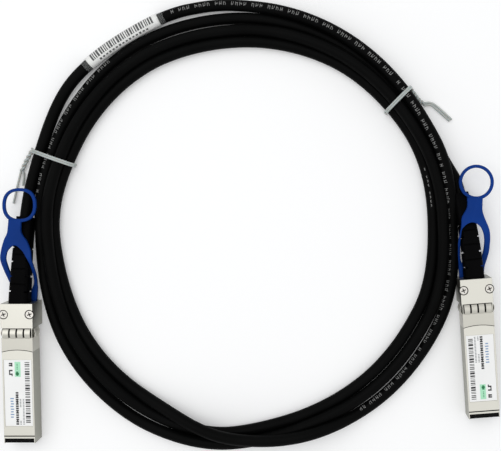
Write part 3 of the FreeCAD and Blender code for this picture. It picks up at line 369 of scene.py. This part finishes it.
def build_cable(materials):
    """The cable as one open spline from strain relief to strain relief."""
    points = np.concatenate([LEAD_A, coil_points(0, 360 * 3 + END_ANGLE, COIL_STEP), LEAD_B])
    curve = bpy.data.curves.new("cable", "CURVE")
    curve.dimensions = "3D"
    spline = curve.splines.new("NURBS")
    spline.points.add(len(points) - 1)
    rows = np.concatenate([(points + MIDDLE) * METRES, np.ones((len(points), 1))], 1)
    spline.points.foreach_set("co", rows.ravel())
    spline.order_u = 3
    spline.use_endpoint_u = True
    spline.resolution_u = 6
    curve.bevel_depth = CABLE * METRES
    curve.bevel_resolution = 4
    curve.use_fill_caps = True
    curve.materials.append(materials["cable"])
    cable = bpy.data.objects.new("cable", curve)
    bpy.context.scene.collection.objects.link(cable)
    return cable


def track(cable):
    """Points of the cable's middle line in millimetres, read from the spline without its bevel."""
    plain = cable.data.copy()
    plain.bevel_depth = 0
    plain.use_fill_caps = False
    holder = bpy.data.objects.new("cable_line", plain)
    mesh = bpy.data.meshes.new_from_object(holder)
    points = np.empty(len(mesh.vertices) * 3)
    mesh.vertices.foreach_get("co", points)
    bpy.data.objects.remove(holder)
    bpy.data.meshes.remove(mesh)
    bpy.data.curves.remove(plain)
    return points.reshape(-1, 3) * 1000 - MIDDLE


def patch_on_tube(path, run, start, stop, turn, half, radius, rows=3, columns=4):
    """A sheet on the tube from run start to stop, between turn - half and turn + half radians.

    A turn of 0 is straight up and positive turns lean to the left of the way the cable runs.  The
    tangent is taken over the next 0.4 mm.
    """
    along = np.linspace(start, stop, rows)
    middle = points_at(path, run, along)
    side, up = side_and_up(points_at(path, run, along + 0.4) - middle)
    around = np.linspace(turn - half, turn + half, columns)[None, :, None]
    points = middle[:, None] + radius * (up[:, None] * np.cos(around) + side[:, None] * np.sin(around))
    return points.reshape(-1, 3), grid_faces(rows, columns, wrap_columns=False)[:, ::-1]


def sweep_marks(path, run, spans, radius):
    """Groups of short strokes along the tube; a span is (start, stop, first turn, last turn, half height).

    Each mark is an upright stroke, another one 0.85 mm on, shorter in two marks of three, and a dash
    between them; the second stroke and the dash are shifted across by the sine of 2.4 times the
    mark's number.
    """
    parts = []
    for start, stop, first, last, tall in spans:
        at, number = start, 0
        while at < stop - 1.3:
            lean = first + (last - first) * (at - start) / (stop - start)
            step = math.sin(number * 2.4)
            parts.append(patch_on_tube(path, run, at, at + 0.27, lean, tall, radius))
            parts.append(patch_on_tube(path, run, at + 0.85, at + 1.1, lean + 0.4 * tall * step,
                                       tall * (0.6 if number % 3 else 1.0), radius))
            parts.append(patch_on_tube(path, run, at + 0.25, at + 0.87, lean - 0.6 * tall * step,
                                       0.065, radius))
            at += 1.85 if (number * 5) % 7 > 1 else 3.6
            number += 1
    return merged(parts)


FIRST_POINTS = 600


def nearest_run(path, run, spot):
    """Distance along the path of its point nearest to a spot seen from above, among the FIRST_POINTS."""
    gap = np.hypot(path[:FIRST_POINTS, 0] - spot[0], path[:FIRST_POINTS, 1] - spot[1])
    return float(run[np.argmin(gap)])


def run_at(path, run, past, turn):
    """Distance along the path of the coil's point at an angle past the top of a turn."""
    spot = coil_points(past + 360 * turn, past + 360 * turn + 1, 2)[0]
    return float(run[np.argmin(np.linalg.norm(path - spot, axis=1))])


def build_print(path, materials):
    """Generic strokes in a pale ink along the cable, where a maker would print its type."""
    run = runs_of(path)
    stops = [nearest_run(path, run, (-36.0, 128.5))]
    stops += [run_at(path, run, past, 0) for past in (45, 72, 125, 150)]
    leans = (0.15, 0.0, -0.75, -0.8, -0.6)
    spans = [(stops[k], stops[k + 1] - 1.0, leans[k], leans[k + 1], 0.31) for k in range(4)]
    spans.append((run_at(path, run, 279, 2), run_at(path, run, 322, 2), 0.55, 0.35, 0.31))
    spans.append((run_at(path, run, 71, 1), run_at(path, run, 84, 1), -0.3, -0.3, 0.09))
    points, faces = sweep_marks(path, run, spans, CABLE + 0.03)
    return make_mesh("cable_print", points, faces, materials["print"])


FILM_HALF = 18.3
SLEEVE_HALF = 20.9
SLEEVE_SHEET = 0.15


def build_marker(path, materials):
    """White marker on the cable with ruled bars, and a clear sleeve over it."""
    run = runs_of(path)
    middle = nearest_run(path, run, (-57.2, 117.2))
    line = points_at(path, run, np.linspace(middle - FILM_HALF, middle + FILM_HALF, 40))
    film = make_mesh("marker_film", *capped(round_tube(line, MARKER, 28)), materials["marker"])
    marks, at, number = [], middle - 15.9, 0
    while at < middle + 16.0:
        wide = (0.85, 0.45, 0.65, 0.95, 0.45, 0.75, 0.5, 0.85, 0.6)[number * 4 % 9]
        marks.append(patch_on_tube(path, run, at, at + wide, 0.48, 0.84, MARKER + 0.02, 2, 10))
        at += wide + (0.36, 0.5, 0.4, 0.65)[number % 4]
        number += 1
    for number in range(15):
        begin = middle - 13.0 + number * 1.75
        tall = 0.13 if number % 3 else 0.18
        marks.append(patch_on_tube(path, run, begin, begin + 1.0, -0.8, tall, MARKER + 0.02, 2, 3))
    bars = make_mesh("marker_bars", *merged(marks), materials["ink"])
    along = np.linspace(middle - SLEEVE_HALF, middle + SLEEVE_HALF, 44)
    line = points_at(path, run, along)
    swell = MARKER + 0.4 - 0.28 * smooth((np.abs(along - middle) - 18.4) / 1.6)
    shell = np.concatenate([round_tube(line, swell, 32), round_tube(line, swell - SLEEVE_SHEET, 32)[::-1]])
    faces = grid_faces(len(shell), 32, wrap_rows=True)
    return film, bars, make_mesh("clear_sleeve", shell.reshape(-1, 3), faces, materials["clear"])


# ------------------------------------------------------------------------------------------
# Ties


def strand_pair(path, radius, spread, twist):
    """Two strands spread beside a path, turned round each other twist times over its length."""
    side, up = side_and_up(np.gradient(path, axis=0))
    turn = np.linspace(0, 2 * math.pi * twist, len(path))[:, None]
    parts = []
    for sign in (-1, 1):
        line = path + sign * spread * (side * np.cos(turn) + up * np.sin(turn))
        parts.append(capped(round_tube(line, radius, 12)))
    return parts


TIE_LOW = 0.8


def hoop_path(inner, outer, top, outer_top):
    """Arch over the bundle: top high beside its inner strand, outer_top high beside its outer one."""
    inner, outer = np.append(inner, TIE_LOW), np.append(outer, TIE_LOW)
    across = (outer - inner) / np.linalg.norm(outer - inner)
    rise = np.array([0.0, 0.0, 1.0])
    corners = [inner, inner + rise * top * 0.45 - across * 0.25, inner + rise * top * 0.8 + across * 0.6,
               inner + rise * top * 0.93 + across * 2.8, (inner + outer) / 2 + rise * (top + 0.1),
               outer + rise * outer_top * 0.95 - across * 3.0, outer + rise * outer_top * 0.8 - across * 0.7,
               outer + rise * outer_top * 0.45 + across * 0.25, outer]
    return smooth_path(corners, 0.5)


def build_tie(name, hoop, twist, tails, materials):
    """One doubled wire: a hoop, a twisted part and its loose ends."""
    parts = strand_pair(hoop, 0.45, 0.42, 0)
    parts += strand_pair(smooth_path(twist, 0.3), 0.55, 0.5, 2.5)
    parts += [capped(round_tube(smooth_path(tail, 0.4), 0.5, 12)) for tail in tails]
    return make_mesh(name, *merged(parts), materials["tie"])


def build_ties(materials):
    """The two ties; the left one holds lead a with the coil."""
    left = build_tie("tie_left_wires", hoop_path((-79.3, 60.9), (-97.5, 67.3), 9.2, 6.2),
                     [(-97.54, 68.14, 3.2), (-99.14, 65.74, 2.6), (-101.14, 62.74, 1.8),
                      (-103.14, 58.44, 1.4)],
                     [[(-102.84, 59.24, 1.2), (-102.44, 55.94, 0.9), (-102.94, 51.94, 0.8)],
                      [(-103.44, 58.94, 1.2), (-105.44, 51.54, 0.8), (-107.14, 43.94, 0.8)]],
                     materials)
    right = build_tie("tie_right_wires", hoop_path((59.7, 84.4), (70.4, 95.1), 10.0, 10.0),
                      [(71.06, 94.34, 3.6), (73.06, 91.74, 2.8), (75.06, 89.54, 2.2), (77.16, 88.34, 1.8)],
                      [[(76.86, 88.74, 1.8), (79.66, 89.04, 1.3), (82.86, 87.34, 1.0), (89.36, 81.54, 0.8)],
                       [(77.06, 87.84, 1.5), (80.06, 88.04, 1.0), (83.06, 85.74, 0.8), (88.36, 80.94, 0.8)]],
                      materials)
    return left, right


# ------------------------------------------------------------------------------------------
# Pull tabs

# Every distance is taken backwards from the nose.  The underside's height above the floor at a
# distance, or None where it lies at ARM_FLOOR in the plug's frame.
ARM_FLOOR = -2.5
TAB_UNDER = [(-0.75, None), (3, None), (5.5, 2.1), (9, 3.6), (12, 5.4), (16, 8.0), (19.5, 10.4), (24, 10.1),
             (30, 8.7), (37, 7.9), (60, 7.9)]
# The tab's left and right outlines and those of the hole between its legs: distance and x.
TAB_OUTER = {"a": ([(-0.7, -5.45), (0.2, -5.45), (1.2, -5.55), (3, -5.5), (6.6, -5.7), (9.6, -6.4),
                    (13, -7.05), (17, -7.5), (21, -7.4), (24.4, -6.85), (28, -6.1), (30.3, -4.95),
                    (36.4, -4.7)],
                   [(-0.7, 5.45), (0.2, 5.45), (1.2, 5.75), (3, 5.8), (7, 6.1), (12, 6.5), (17, 6.2),
                    (23, 5.8), (27, 4.0), (29.5, 1.7), (31, 0.9), (36.4, 0.9)]),
             "b": ([(-0.7, -5.45), (0.2, -5.45), (3, -5.5), (7, -5.6), (16.5, -5.85), (20, -5.3), (23, -4.3),
                    (27, -3.8), (28.5, -2.6), (30.5, -1.0), (32.5, -0.6), (35.4, -0.6)],
                   [(-0.7, 5.45), (0.2, 5.45), (1.2, 5.6), (3, 5.7), (7.3, 7.3), (10.9, 8.1), (16.5, 8.2),
                    (21.5, 7.6), (25.5, 6.3), (29, 5.5), (35.4, 6.4)])}
TAB_HOLE = {"a": ([(-0.7, -3.15), (1, -2.9), (5, -3.2), (7.5, -4.2), (11, -4.4), (14.5, -4.9), (18, -5.05),
                   (22, -4.6), (24.9, -3.4)],
                  [(-0.7, 3.15), (1, 2.9), (5, 3.2), (7.5, 4.7), (10.9, 5.1), (15, 5.0), (18, 4.7), (20, 4.0),
                   (22.6, 2.4), (24.9, 0.8)]),
            "b": ([(-0.7, -3.15), (1, -2.9), (5, -3.2), (7.5, -4.6), (11, -4.75), (17.4, -4.95), (20.5, -4.6),
                   (22.3, -4.0), (24.4, -2.6)],
                  [(-0.7, 3.15), (1, 2.9), (5, 3.2), (7.5, 4.7), (12, 5.6), (15.5, 5.7), (18.5, 5.3),
                   (21.2, 4.5), (24.4, 3.3)])}
TAB_START = -0.7
HOLE_END = {"a": 25.2, "b": 24.5}
NECK_END = {"a": 36.3, "b": 35.3}
# The finger ring: its middle, the radius of the bar's middle line, and the bar's section.
RING_AT = {"a": (0.0, 42.6), "b": (4.1, 41.7)}
RING_RADIUS = 6.95
RING_BAR = 1.4
RING_POINTS = 96


def eased(table, wanted, softness=1.2):
    """A table's values at the wanted places, rounded by averaging over a short span."""
    table = np.array(table, float)
    spread = np.linspace(-softness, softness, 9)
    spots = np.asarray(wanted)[:, None] + spread[None, :]
    return np.interp(spots, table[:, 0], table[:, 1]).mean(1)


def tab_floor(back):
    """Plug-frame height of the tab's underside at a distance behind the nose."""
    rows = [(t, ARM_FLOOR if h is None else local_height(NOSE + t, h)) for t, h in TAB_UNDER]
    return eased(rows, back, 1.0)


def rounded_bar(left, right, low, high, round_left, round_right):
    """Loops of 20 points: a rectangle from left to right and low to high with its corners rounded."""
    quarter = np.linspace(0, math.pi / 2, 5)
    corners = ((right, high, -1, -1, round_right), (left, high, 1, -1, round_left),
               (left, low, 1, 1, round_left), (right, low, -1, 1, round_right))
    loops = []
    for number, (cx, cz, sx, sz, r) in enumerate(corners):
        a = quarter + number * math.pi / 2
        loops.append(np.stack([(cx + sx * r)[:, None] + r[:, None] * np.cos(a)[None],
                               (cz + sz * r)[:, None] + r[:, None] * np.sin(a)[None]], -1))
    return np.concatenate(loops, 1)


def leg(side, hand):
    """One half of the tab: from the slider's arm up beside the strain relief and along the neck.

    The hole's half width is multiplied by sqrt(1 - c^2), where c runs from 0 to 1 over the last
    3 mm before the hole's end.
    """
    end = HOLE_END[side]
    back = np.concatenate([np.linspace(TAB_START, end - 3, 56), end - 3 * np.cos(np.linspace(0.05, 1.57, 28)),
                           np.linspace(end + 0.05, NECK_END[side], 34)])
    outlines = [eased(TAB_OUTER[side][k], back) for k in (0, 1)]
    hole_left, hole_right = (eased(TAB_HOLE[side][k], np.minimum(back, end)) for k in (0, 1))
    closing = np.clip((back - end + 3) / 3, 0, 1)
    half = (hole_right - hole_left) / 2 * np.sqrt(1 - closing ** 2)
    seam = (hole_left + hole_right) / 2
    neck = (outlines[0] + outlines[1]) / 2
    seam = seam + (neck - seam) * smooth((back - end) / 5)
    floor = tab_floor(back)
    thick = np.interp(back, [3, 5.5], [2.0, 1.5])
    soft = np.minimum(0.42, thick * 0.3)
    closed = soft * (back < end) + 1e-3
    if hand:
        loops = rounded_bar(seam + half, outlines[1], floor, floor + thick, closed, soft)
    else:
        loops = rounded_bar(outlines[0], seam - half, floor, floor + thick, soft, closed)
    along = np.broadcast_to((NOSE + back)[:, None, None], (*loops.shape[:2], 1))
    grid = np.concatenate([loops[..., :1], along, loops[..., 1:]], -1)
    return capped(to_row(side, grid)[::-1])


def ring(side):
    """Finger ring: a rounded bar round a circle, its radius on plug a less 2.8% of cos(4 angle)."""
    across, back = RING_AT[side]
    turn = np.linspace(0, 2 * math.pi, RING_POINTS, endpoint=False)
    reach = RING_RADIUS * (1 - (0.028 if side == "a" else 0.0) * np.cos(4 * turn))
    limits = (-RING_BAR / 2, RING_BAR / 2, 0.0, RING_BAR, 0.4, 0.4)
    bar = rounded_bar(*(np.full(RING_POINTS, value) for value in limits))
    radial, high = bar[..., 0] + reach[:, None], bar[..., 1]
    x = across + radial * np.cos(turn)[:, None]
    y = NOSE + back + radial * np.sin(turn)[:, None]
    z = tab_floor(y.ravel() - NOSE).reshape(y.shape) + high
    points = to_row(side, np.stack([x, y, z], -1)).reshape(-1, 3)
    return points, grid_faces(RING_POINTS, bar.shape[1], wrap_rows=True)


def build_tab(side, materials):
    """Two legs that meet in the neck, and the ring."""
    points, faces = merged([leg(side, 0), leg(side, 1), ring(side)])
    return make_mesh("pull_tab_skin_" + side, points, faces, materials["tab"])


# ------------------------------------------------------------------------------------------
# Plug prints and painted shade


def label_spot(share_x, share_y):
    """Plug-frame x and y of a spot given in shares of the label's width and length."""
    return -6.0 + 12.0 * share_x, -13.85 - 29.45 * share_y


def rectangles(side, spots, high):
    """Flat quads on the label: each is (left, right, near, far) in shares of the label."""
    points = []
    for left, right, near, far in spots:
        if side == "b":
            left, right, near, far = 1 - right, 1 - left, 1 - far, 1 - near
        (x0, y0), (x1, y1) = label_spot(left, near), label_spot(right, far)
        points += [(x0, y1, high), (x1, y1, high), (x1, y0, high), (x0, y0, high)]
    return to_row(side, np.array(points)), np.arange(len(points)).reshape(-1, 4)


INK_LEVEL = 8.42


def label_print(side, materials):
    """Ruled bars, a pale green field, dark type-like blocks and pale marks, with no word in them."""
    bars, at, number = [], 0.035, 0
    while at < 0.955:
        thick = (0.011, 0.022, 0.008, 0.016, 0.030, 0.009, 0.013)[number * 3 % 7]
        bars.append((0.755, 0.925, at, at + thick))
        at += thick + (0.016, 0.010, 0.021, 0.012)[number % 4]
        number += 1
    column = [(0.40, 0.50, 0.485 + 0.0336 * n, 0.485 + 0.0336 * n + 0.024) for n in range(15)]
    column += [(0.43, 0.47, 0.493 + 0.0336 * n, 0.528 + 0.0336 * n) for n in (1, 3, 4, 8, 12)]
    marks = [(0.18, 0.31, near, near + 0.022) for near in (0.045, 0.075, 0.15, 0.205)]
    marks += [(0.27, 0.31, 0.05, 0.10), (0.18, 0.22, 0.16, 0.225), (0.27, 0.31, 0.215, 0.245)]
    ticks = [(0.54, 0.60, near + 0.022 * n, near + 0.022 * n + 0.012) for near, many in ((0.59, 6), (0.92, 3))
             for n in range(many)]
    ticks += [(0.65, 0.71, 0.59 + 0.022 * n, 0.59 + 0.022 * n + 0.012) for n in range(18)]
    sweep = [(0.20 + 0.008 * (n % 3), 0.33 - 0.02 * (n % 2), 0.575 + 0.04 * n, 0.592 + 0.04 * n)
             for n in range(8)]
    blob = [(0.42, 0.54, 0.195, 0.225), (0.44, 0.52, 0.175, 0.24)]
    faint = [(0.46, 0.50, 0.06 + 0.024 * n, 0.072 + 0.024 * n) for n in range(4)]
    layers = (("bars", bars + column + marks, "ink", INK_LEVEL), ("ticks", ticks, "grey", INK_LEVEL),
              ("field", [(0.39, 0.60, 0.03, 0.255)], "green", INK_LEVEL - 0.004),
              ("blob", blob + faint, "leaf", INK_LEVEL + 0.002), ("sweep", sweep, "sky", INK_LEVEL))
    return [make_mesh(f"label_{key}_{side}", *rectangles(side, spots, high), materials[finish], False)
            for key, spots, finish, high in layers]


def band(xs, near, far, high):
    """Strip of quads over the places xs, between the lines near and far, flat at a height."""
    xs = np.asarray(xs, float)
    rows = [np.stack([xs, np.broadcast_to(y, xs.shape), np.full(xs.shape, high)], -1) for y in (far, near)]
    return np.concatenate(rows), grid_faces(2, len(xs), wrap_columns=False)


# Screw middles (x, y), the shell's top and the counterbores' floor, where the painted shade sheets lie.
SCREW_AT = (5.65, 6.05)
TOP_LINE = 8.506
SEAT_FLOOR = 8.1


def painted_plug_shade(side, materials):
    """Painted shade: dark sheets on the floors of the screws' counterbores and recesses, of the finger well,
    and along the thin seams, where shade falls.
    """
    # Painted shade: a dark sheet in the finger well, and dark bands in the groove near the shell's end and at
    # the collar's front edge.
    parts = [band((-6.25, 6.25), -0.1, -4.1, 7.86), band((-6.7, 6.7), -47.5, -48.0, TOP_LINE)]
    across = np.linspace(-6.75, 6.75, 25)
    arch = -10.3 + 0.9 * (1 - (across / 6.775) ** 2)
    parts.append(band(across, arch + 0.02, arch - 0.26, TOP_LINE))
    turn = np.linspace(0, 2 * math.pi, 32, endpoint=False)
    circle = np.stack([np.cos(turn), np.sin(turn), 0 * turn], -1)
    seat = [0, 0, SEAT_FLOOR]
    # Painted shade: a dark ring in each counterbore round the screw head, and a dark cross in its recess.
    for middle in (-SCREW_AT[0], SCREW_AT[0]):
        at = np.array([middle, SCREW_AT[1], 0.0])
        parts.append((np.concatenate([at + 2.04 * circle + seat, at + 1.6 * circle + seat]),
                      grid_faces(2, 32)[:, ::-1]))
        for angle in (math.radians(20), math.radians(110)):
            ahead = np.array([math.cos(angle), math.sin(angle), 0])
            aside = np.array([-ahead[1], ahead[0], 0])
            high = [0, 0, SEAT_FLOOR - 0.07 + angle * 0.001]
            corners = [at + ahead * (1.04 * i) + aside * (0.22 * j) + high
                       for i, j in ((-1, -1), (1, -1), (1, 1), (-1, 1))]
            parts.append((np.array(corners), [[0, 1, 2, 3]]))
    points, faces = merged(parts)
    return make_mesh("painted_plug_shade_" + side, to_row(side, points), faces, materials["shade"], False)


# ------------------------------------------------------------------------------------------
# Finishes of the CAD pieces

CAD_FINISH = {"top_shell": "shell", "bottom_shell": "shell", "emi_collar": "spring", "card_guard": "guard",
              "paddle_card": "card", "card_contacts": "gold", "solder_block": "potting", "core_wires": "core",
              "crimp_ferrule": "brass", "cover_screws": "screw", "plug_label": "label", "latch_pin": "steel",
              "latch_spring": "spring", "cable_end": "cable", "strain_relief": "boot",
              "latch_rocker": "latch", "latch_slider": "steel", "pull_tab": "tab"}
CORD_FINISH = {"cable_lead_a": "cable", "cable_coil": "cable", "cable_lead_b": "cable",
               "cable_sleeve": "clear", "cable_marker": "marker", "tie_left": "tie", "tie_right": "tie"}


def dress_nodes(materials):
    """Each CAD piece takes its finish."""
    finishes = {f"{name}_{side}": finish for side in PLUGS for name, finish in CAD_FINISH.items()}
    finishes.update(CORD_FINISH)
    for name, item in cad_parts.items():
        item.data.materials.clear()
        item.data.materials.append(materials[finishes[name]])


# ------------------------------------------------------------------------------------------
# Stage


FLOOR_REACH = 1500.0
FLOOR_LEVEL = -0.02
LOOK_AT = Vector((0.03, 0.03, 0))
# Name, place in metres, power in watts and size in metres of each lamp.
LAMPS = (("key", (-0.35, 0.25, 0.85), 2.4, 0.9), ("fill", (0.6, -0.1, 0.7), 0.4, 0.9),
         ("top", (0.03, 0.03, 1.3), 0.9, 1.3))


def seen_rays(tree):
    """1 for rays from the camera, reflected rays and rays through clear pieces, 0 for the rest."""
    rays = tree.nodes.new("ShaderNodeLightPath")
    result = rays.outputs["Is Camera Ray"]
    for kind in ("Is Glossy Ray", "Is Transmission Ray"):
        either = tree.nodes.new("ShaderNodeMath")
        either.operation = "MAXIMUM"
        tree.links.new(result, either.inputs[0])
        tree.links.new(rays.outputs[kind], either.inputs[1])
        result = either.outputs[0]
    return result


def build_stage(settings):
    """Pale floor, three soft lights, a white background and the camera straight above."""
    scene = bpy.context.scene
    floor_finish = finish_of("stage_floor", (0.89, 0.89, 0.89), 0.95, Specular_IOR_Level=0.0)
    tree = floor_finish.node_tree
    glow, both = tree.nodes.new("ShaderNodeEmission"), tree.nodes.new("ShaderNodeAddShader")
    strength = tree.nodes.new("ShaderNodeMath")
    strength.operation = "MULTIPLY"
    strength.inputs[1].default_value = settings.floor_glow
    tree.links.new(seen_rays(tree), strength.inputs[0])
    tree.links.new(strength.outputs[0], glow.inputs["Strength"])
    tree.links.new(tree.nodes["Principled BSDF"].outputs["BSDF"], both.inputs[0])
    tree.links.new(glow.outputs["Emission"], both.inputs[1])
    tree.links.new(both.outputs["Shader"], tree.nodes["Material Output"].inputs["Surface"])
    corners = [(i * FLOOR_REACH, j * FLOOR_REACH, FLOOR_LEVEL)
               for i, j in ((-1, -1), (1, -1), (1, 1), (-1, 1))]
    floor = make_mesh("stage_plane", corners, [[0, 1, 2, 3]], floor_finish, False)
    for name, place, power, wide in LAMPS:
        lamp = bpy.data.lights.new("stage_" + name, "AREA")
        lamp.energy, lamp.size = power * settings.light, wide
        item = bpy.data.objects.new("stage_" + name, lamp)
        item.location = place
        item.rotation_euler = (LOOK_AT - Vector(place)).to_track_quat("-Z", "Y").to_euler()
        scene.collection.objects.link(item)

    world = bpy.data.worlds.new("stage_world")
    world.use_nodes = True
    tree = world.node_tree
    tree.nodes.clear()
    out = tree.nodes.new("ShaderNodeOutputWorld")
    mix = tree.nodes.new("ShaderNodeMixShader")
    soft, white = tree.nodes.new("ShaderNodeBackground"), tree.nodes.new("ShaderNodeBackground")
    soft.inputs["Color"].default_value = (0.98, 0.99, 1, 1)
    soft.inputs["Strength"].default_value = 0.7
    white.inputs["Color"].default_value = (1, 1, 1, 1)
    white.inputs["Strength"].default_value = 1.0
    tree.links.new(seen_rays(tree), mix.inputs["Fac"])
    tree.links.new(soft.outputs["Background"], mix.inputs[1])
    tree.links.new(white.outputs["Background"], mix.inputs[2])
    tree.links.new(mix.outputs["Shader"], out.inputs["Surface"])
    scene.world = world
    scene.view_settings.view_transform = "Standard"

    lens = bpy.data.cameras.new("camera")
    lens.sensor_width = 36
    lens.lens = settings.lens
    lens.shift_x, lens.shift_y = settings.shift_x, settings.shift_y
    lens.clip_start, lens.clip_end = 0.01, 10
    lens.dof.use_dof = False
    camera = bpy.data.objects.new("camera", lens)
    camera.location = settings.eye
    scene.collection.objects.link(camera)
    scene.camera = camera


# ------------------------------------------------------------------------------------------
# Add-on


class CableSettings(bpy.types.PropertyGroup):
    """The few values that a user may want to turn."""

    lens: bpy.props.FloatProperty(name="Lens", description="Focal length in mm", default=55.94)
    shift_x: bpy.props.FloatProperty(name="Shift X", description="Lens shift across", default=-0.1387)
    shift_y: bpy.props.FloatProperty(name="Shift Y", description="Lens shift up", default=0.0)
    eye: bpy.props.FloatVectorProperty(name="Camera", description="Where the camera hangs", unit="LENGTH",
                                       subtype="TRANSLATION", default=(0.030203, 0.034422, 0.35))
    light: bpy.props.FloatProperty(name="Light", description="Strength of the studio lights", default=1.0)
    floor_glow: bpy.props.FloatProperty(name="Floor glow", description="Own light of the floor, as seen",
                                        default=0.16)


class CABLE_OT_cord(bpy.types.Operator):
    """Cable from plug to plug, its print, its marker and the clear sleeve"""

    bl_idname = "cable.cord"
    bl_label = "Cable"

    def execute(self, context):
        cable = build_cable(MATERIALS)
        path = track(cable)
        ink = build_print(path, MATERIALS)
        marker, bars, sleeve = build_marker(path, MATERIALS)
        ties = build_ties(MATERIALS)
        for item in (cable, ink, marker, bars, sleeve, *ties):
            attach(item, "root")
        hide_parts("cable_lead_a", "cable_coil", "cable_lead_b")
        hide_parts("cable_marker")
        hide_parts("cable_sleeve")
        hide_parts("tie_left")
        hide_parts("tie_right")
        return {"FINISHED"}


class CABLE_OT_tabs(bpy.types.Operator):
    """Pull tabs with their rings"""

    bl_idname = "cable.tabs"
    bl_label = "Pull tabs"

    def execute(self, context):
        for side in PLUGS:
            tab = build_tab(side, MATERIALS)
            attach(tab, "pull_tab_body_" + side)
            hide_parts("pull_tab_" + side)
        return {"FINISHED"}


class CABLE_OT_plugs(bpy.types.Operator):
    """Finishes of the plugs' pieces, the print on their labels and the painted shade sheets in their recesses
    and seams
    """

    bl_idname = "cable.plugs"
    bl_label = "Plugs"

    def execute(self, context):
        dress_nodes(MATERIALS)
        for side in PLUGS:
            for item in label_print(side, MATERIALS):
                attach(item, "root")
            shades = painted_plug_shade(side, MATERIALS)
            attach(shades, "root")
        return {"FINISHED"}


class CABLE_OT_stage(bpy.types.Operator):
    """Floor, lights, background and camera"""

    bl_idname = "cable.stage"
    bl_label = "Stage"

    def execute(self, context):
        build_stage(context.scene.cable_settings)
        return {"FINISHED"}


class CABLE_PT_panel(bpy.types.Panel):
    """Panel in the 3D view's sidebar"""

    bl_label = "Direct attach cable"
    bl_idname = "CABLE_PT_panel"
    bl_space_type = "VIEW_3D"
    bl_region_type = "UI"
    bl_category = "Cable"

    def draw(self, context):
        for name in ("lens", "shift_x", "shift_y", "eye", "light", "floor_glow"):
            self.layout.prop(context.scene.cable_settings, name)
        for operator in OPERATORS:
            self.layout.operator(operator.bl_idname)


OPERATORS = (CABLE_OT_stage, CABLE_OT_cord, CABLE_OT_tabs, CABLE_OT_plugs)
CLASSES = (CableSettings, *OPERATORS, CABLE_PT_panel)
MATERIALS = {}


def register():
    """Adds the classes and the settings."""
    for item in CLASSES:
        bpy.utils.register_class(item)
    bpy.types.Scene.cable_settings = bpy.props.PointerProperty(type=CableSettings)


def unregister():
    """Takes the classes and the settings away."""
    del bpy.types.Scene.cable_settings
    for item in reversed(CLASSES):
        bpy.utils.unregister_class(item)


def main():
    """Builds everything."""
    register()
    MATERIALS.update(library())
    bpy.ops.cable.stage()
    bpy.ops.cable.cord()
    bpy.ops.cable.tabs()
    bpy.ops.cable.plugs()


if __name__ == "__main__":
    main()
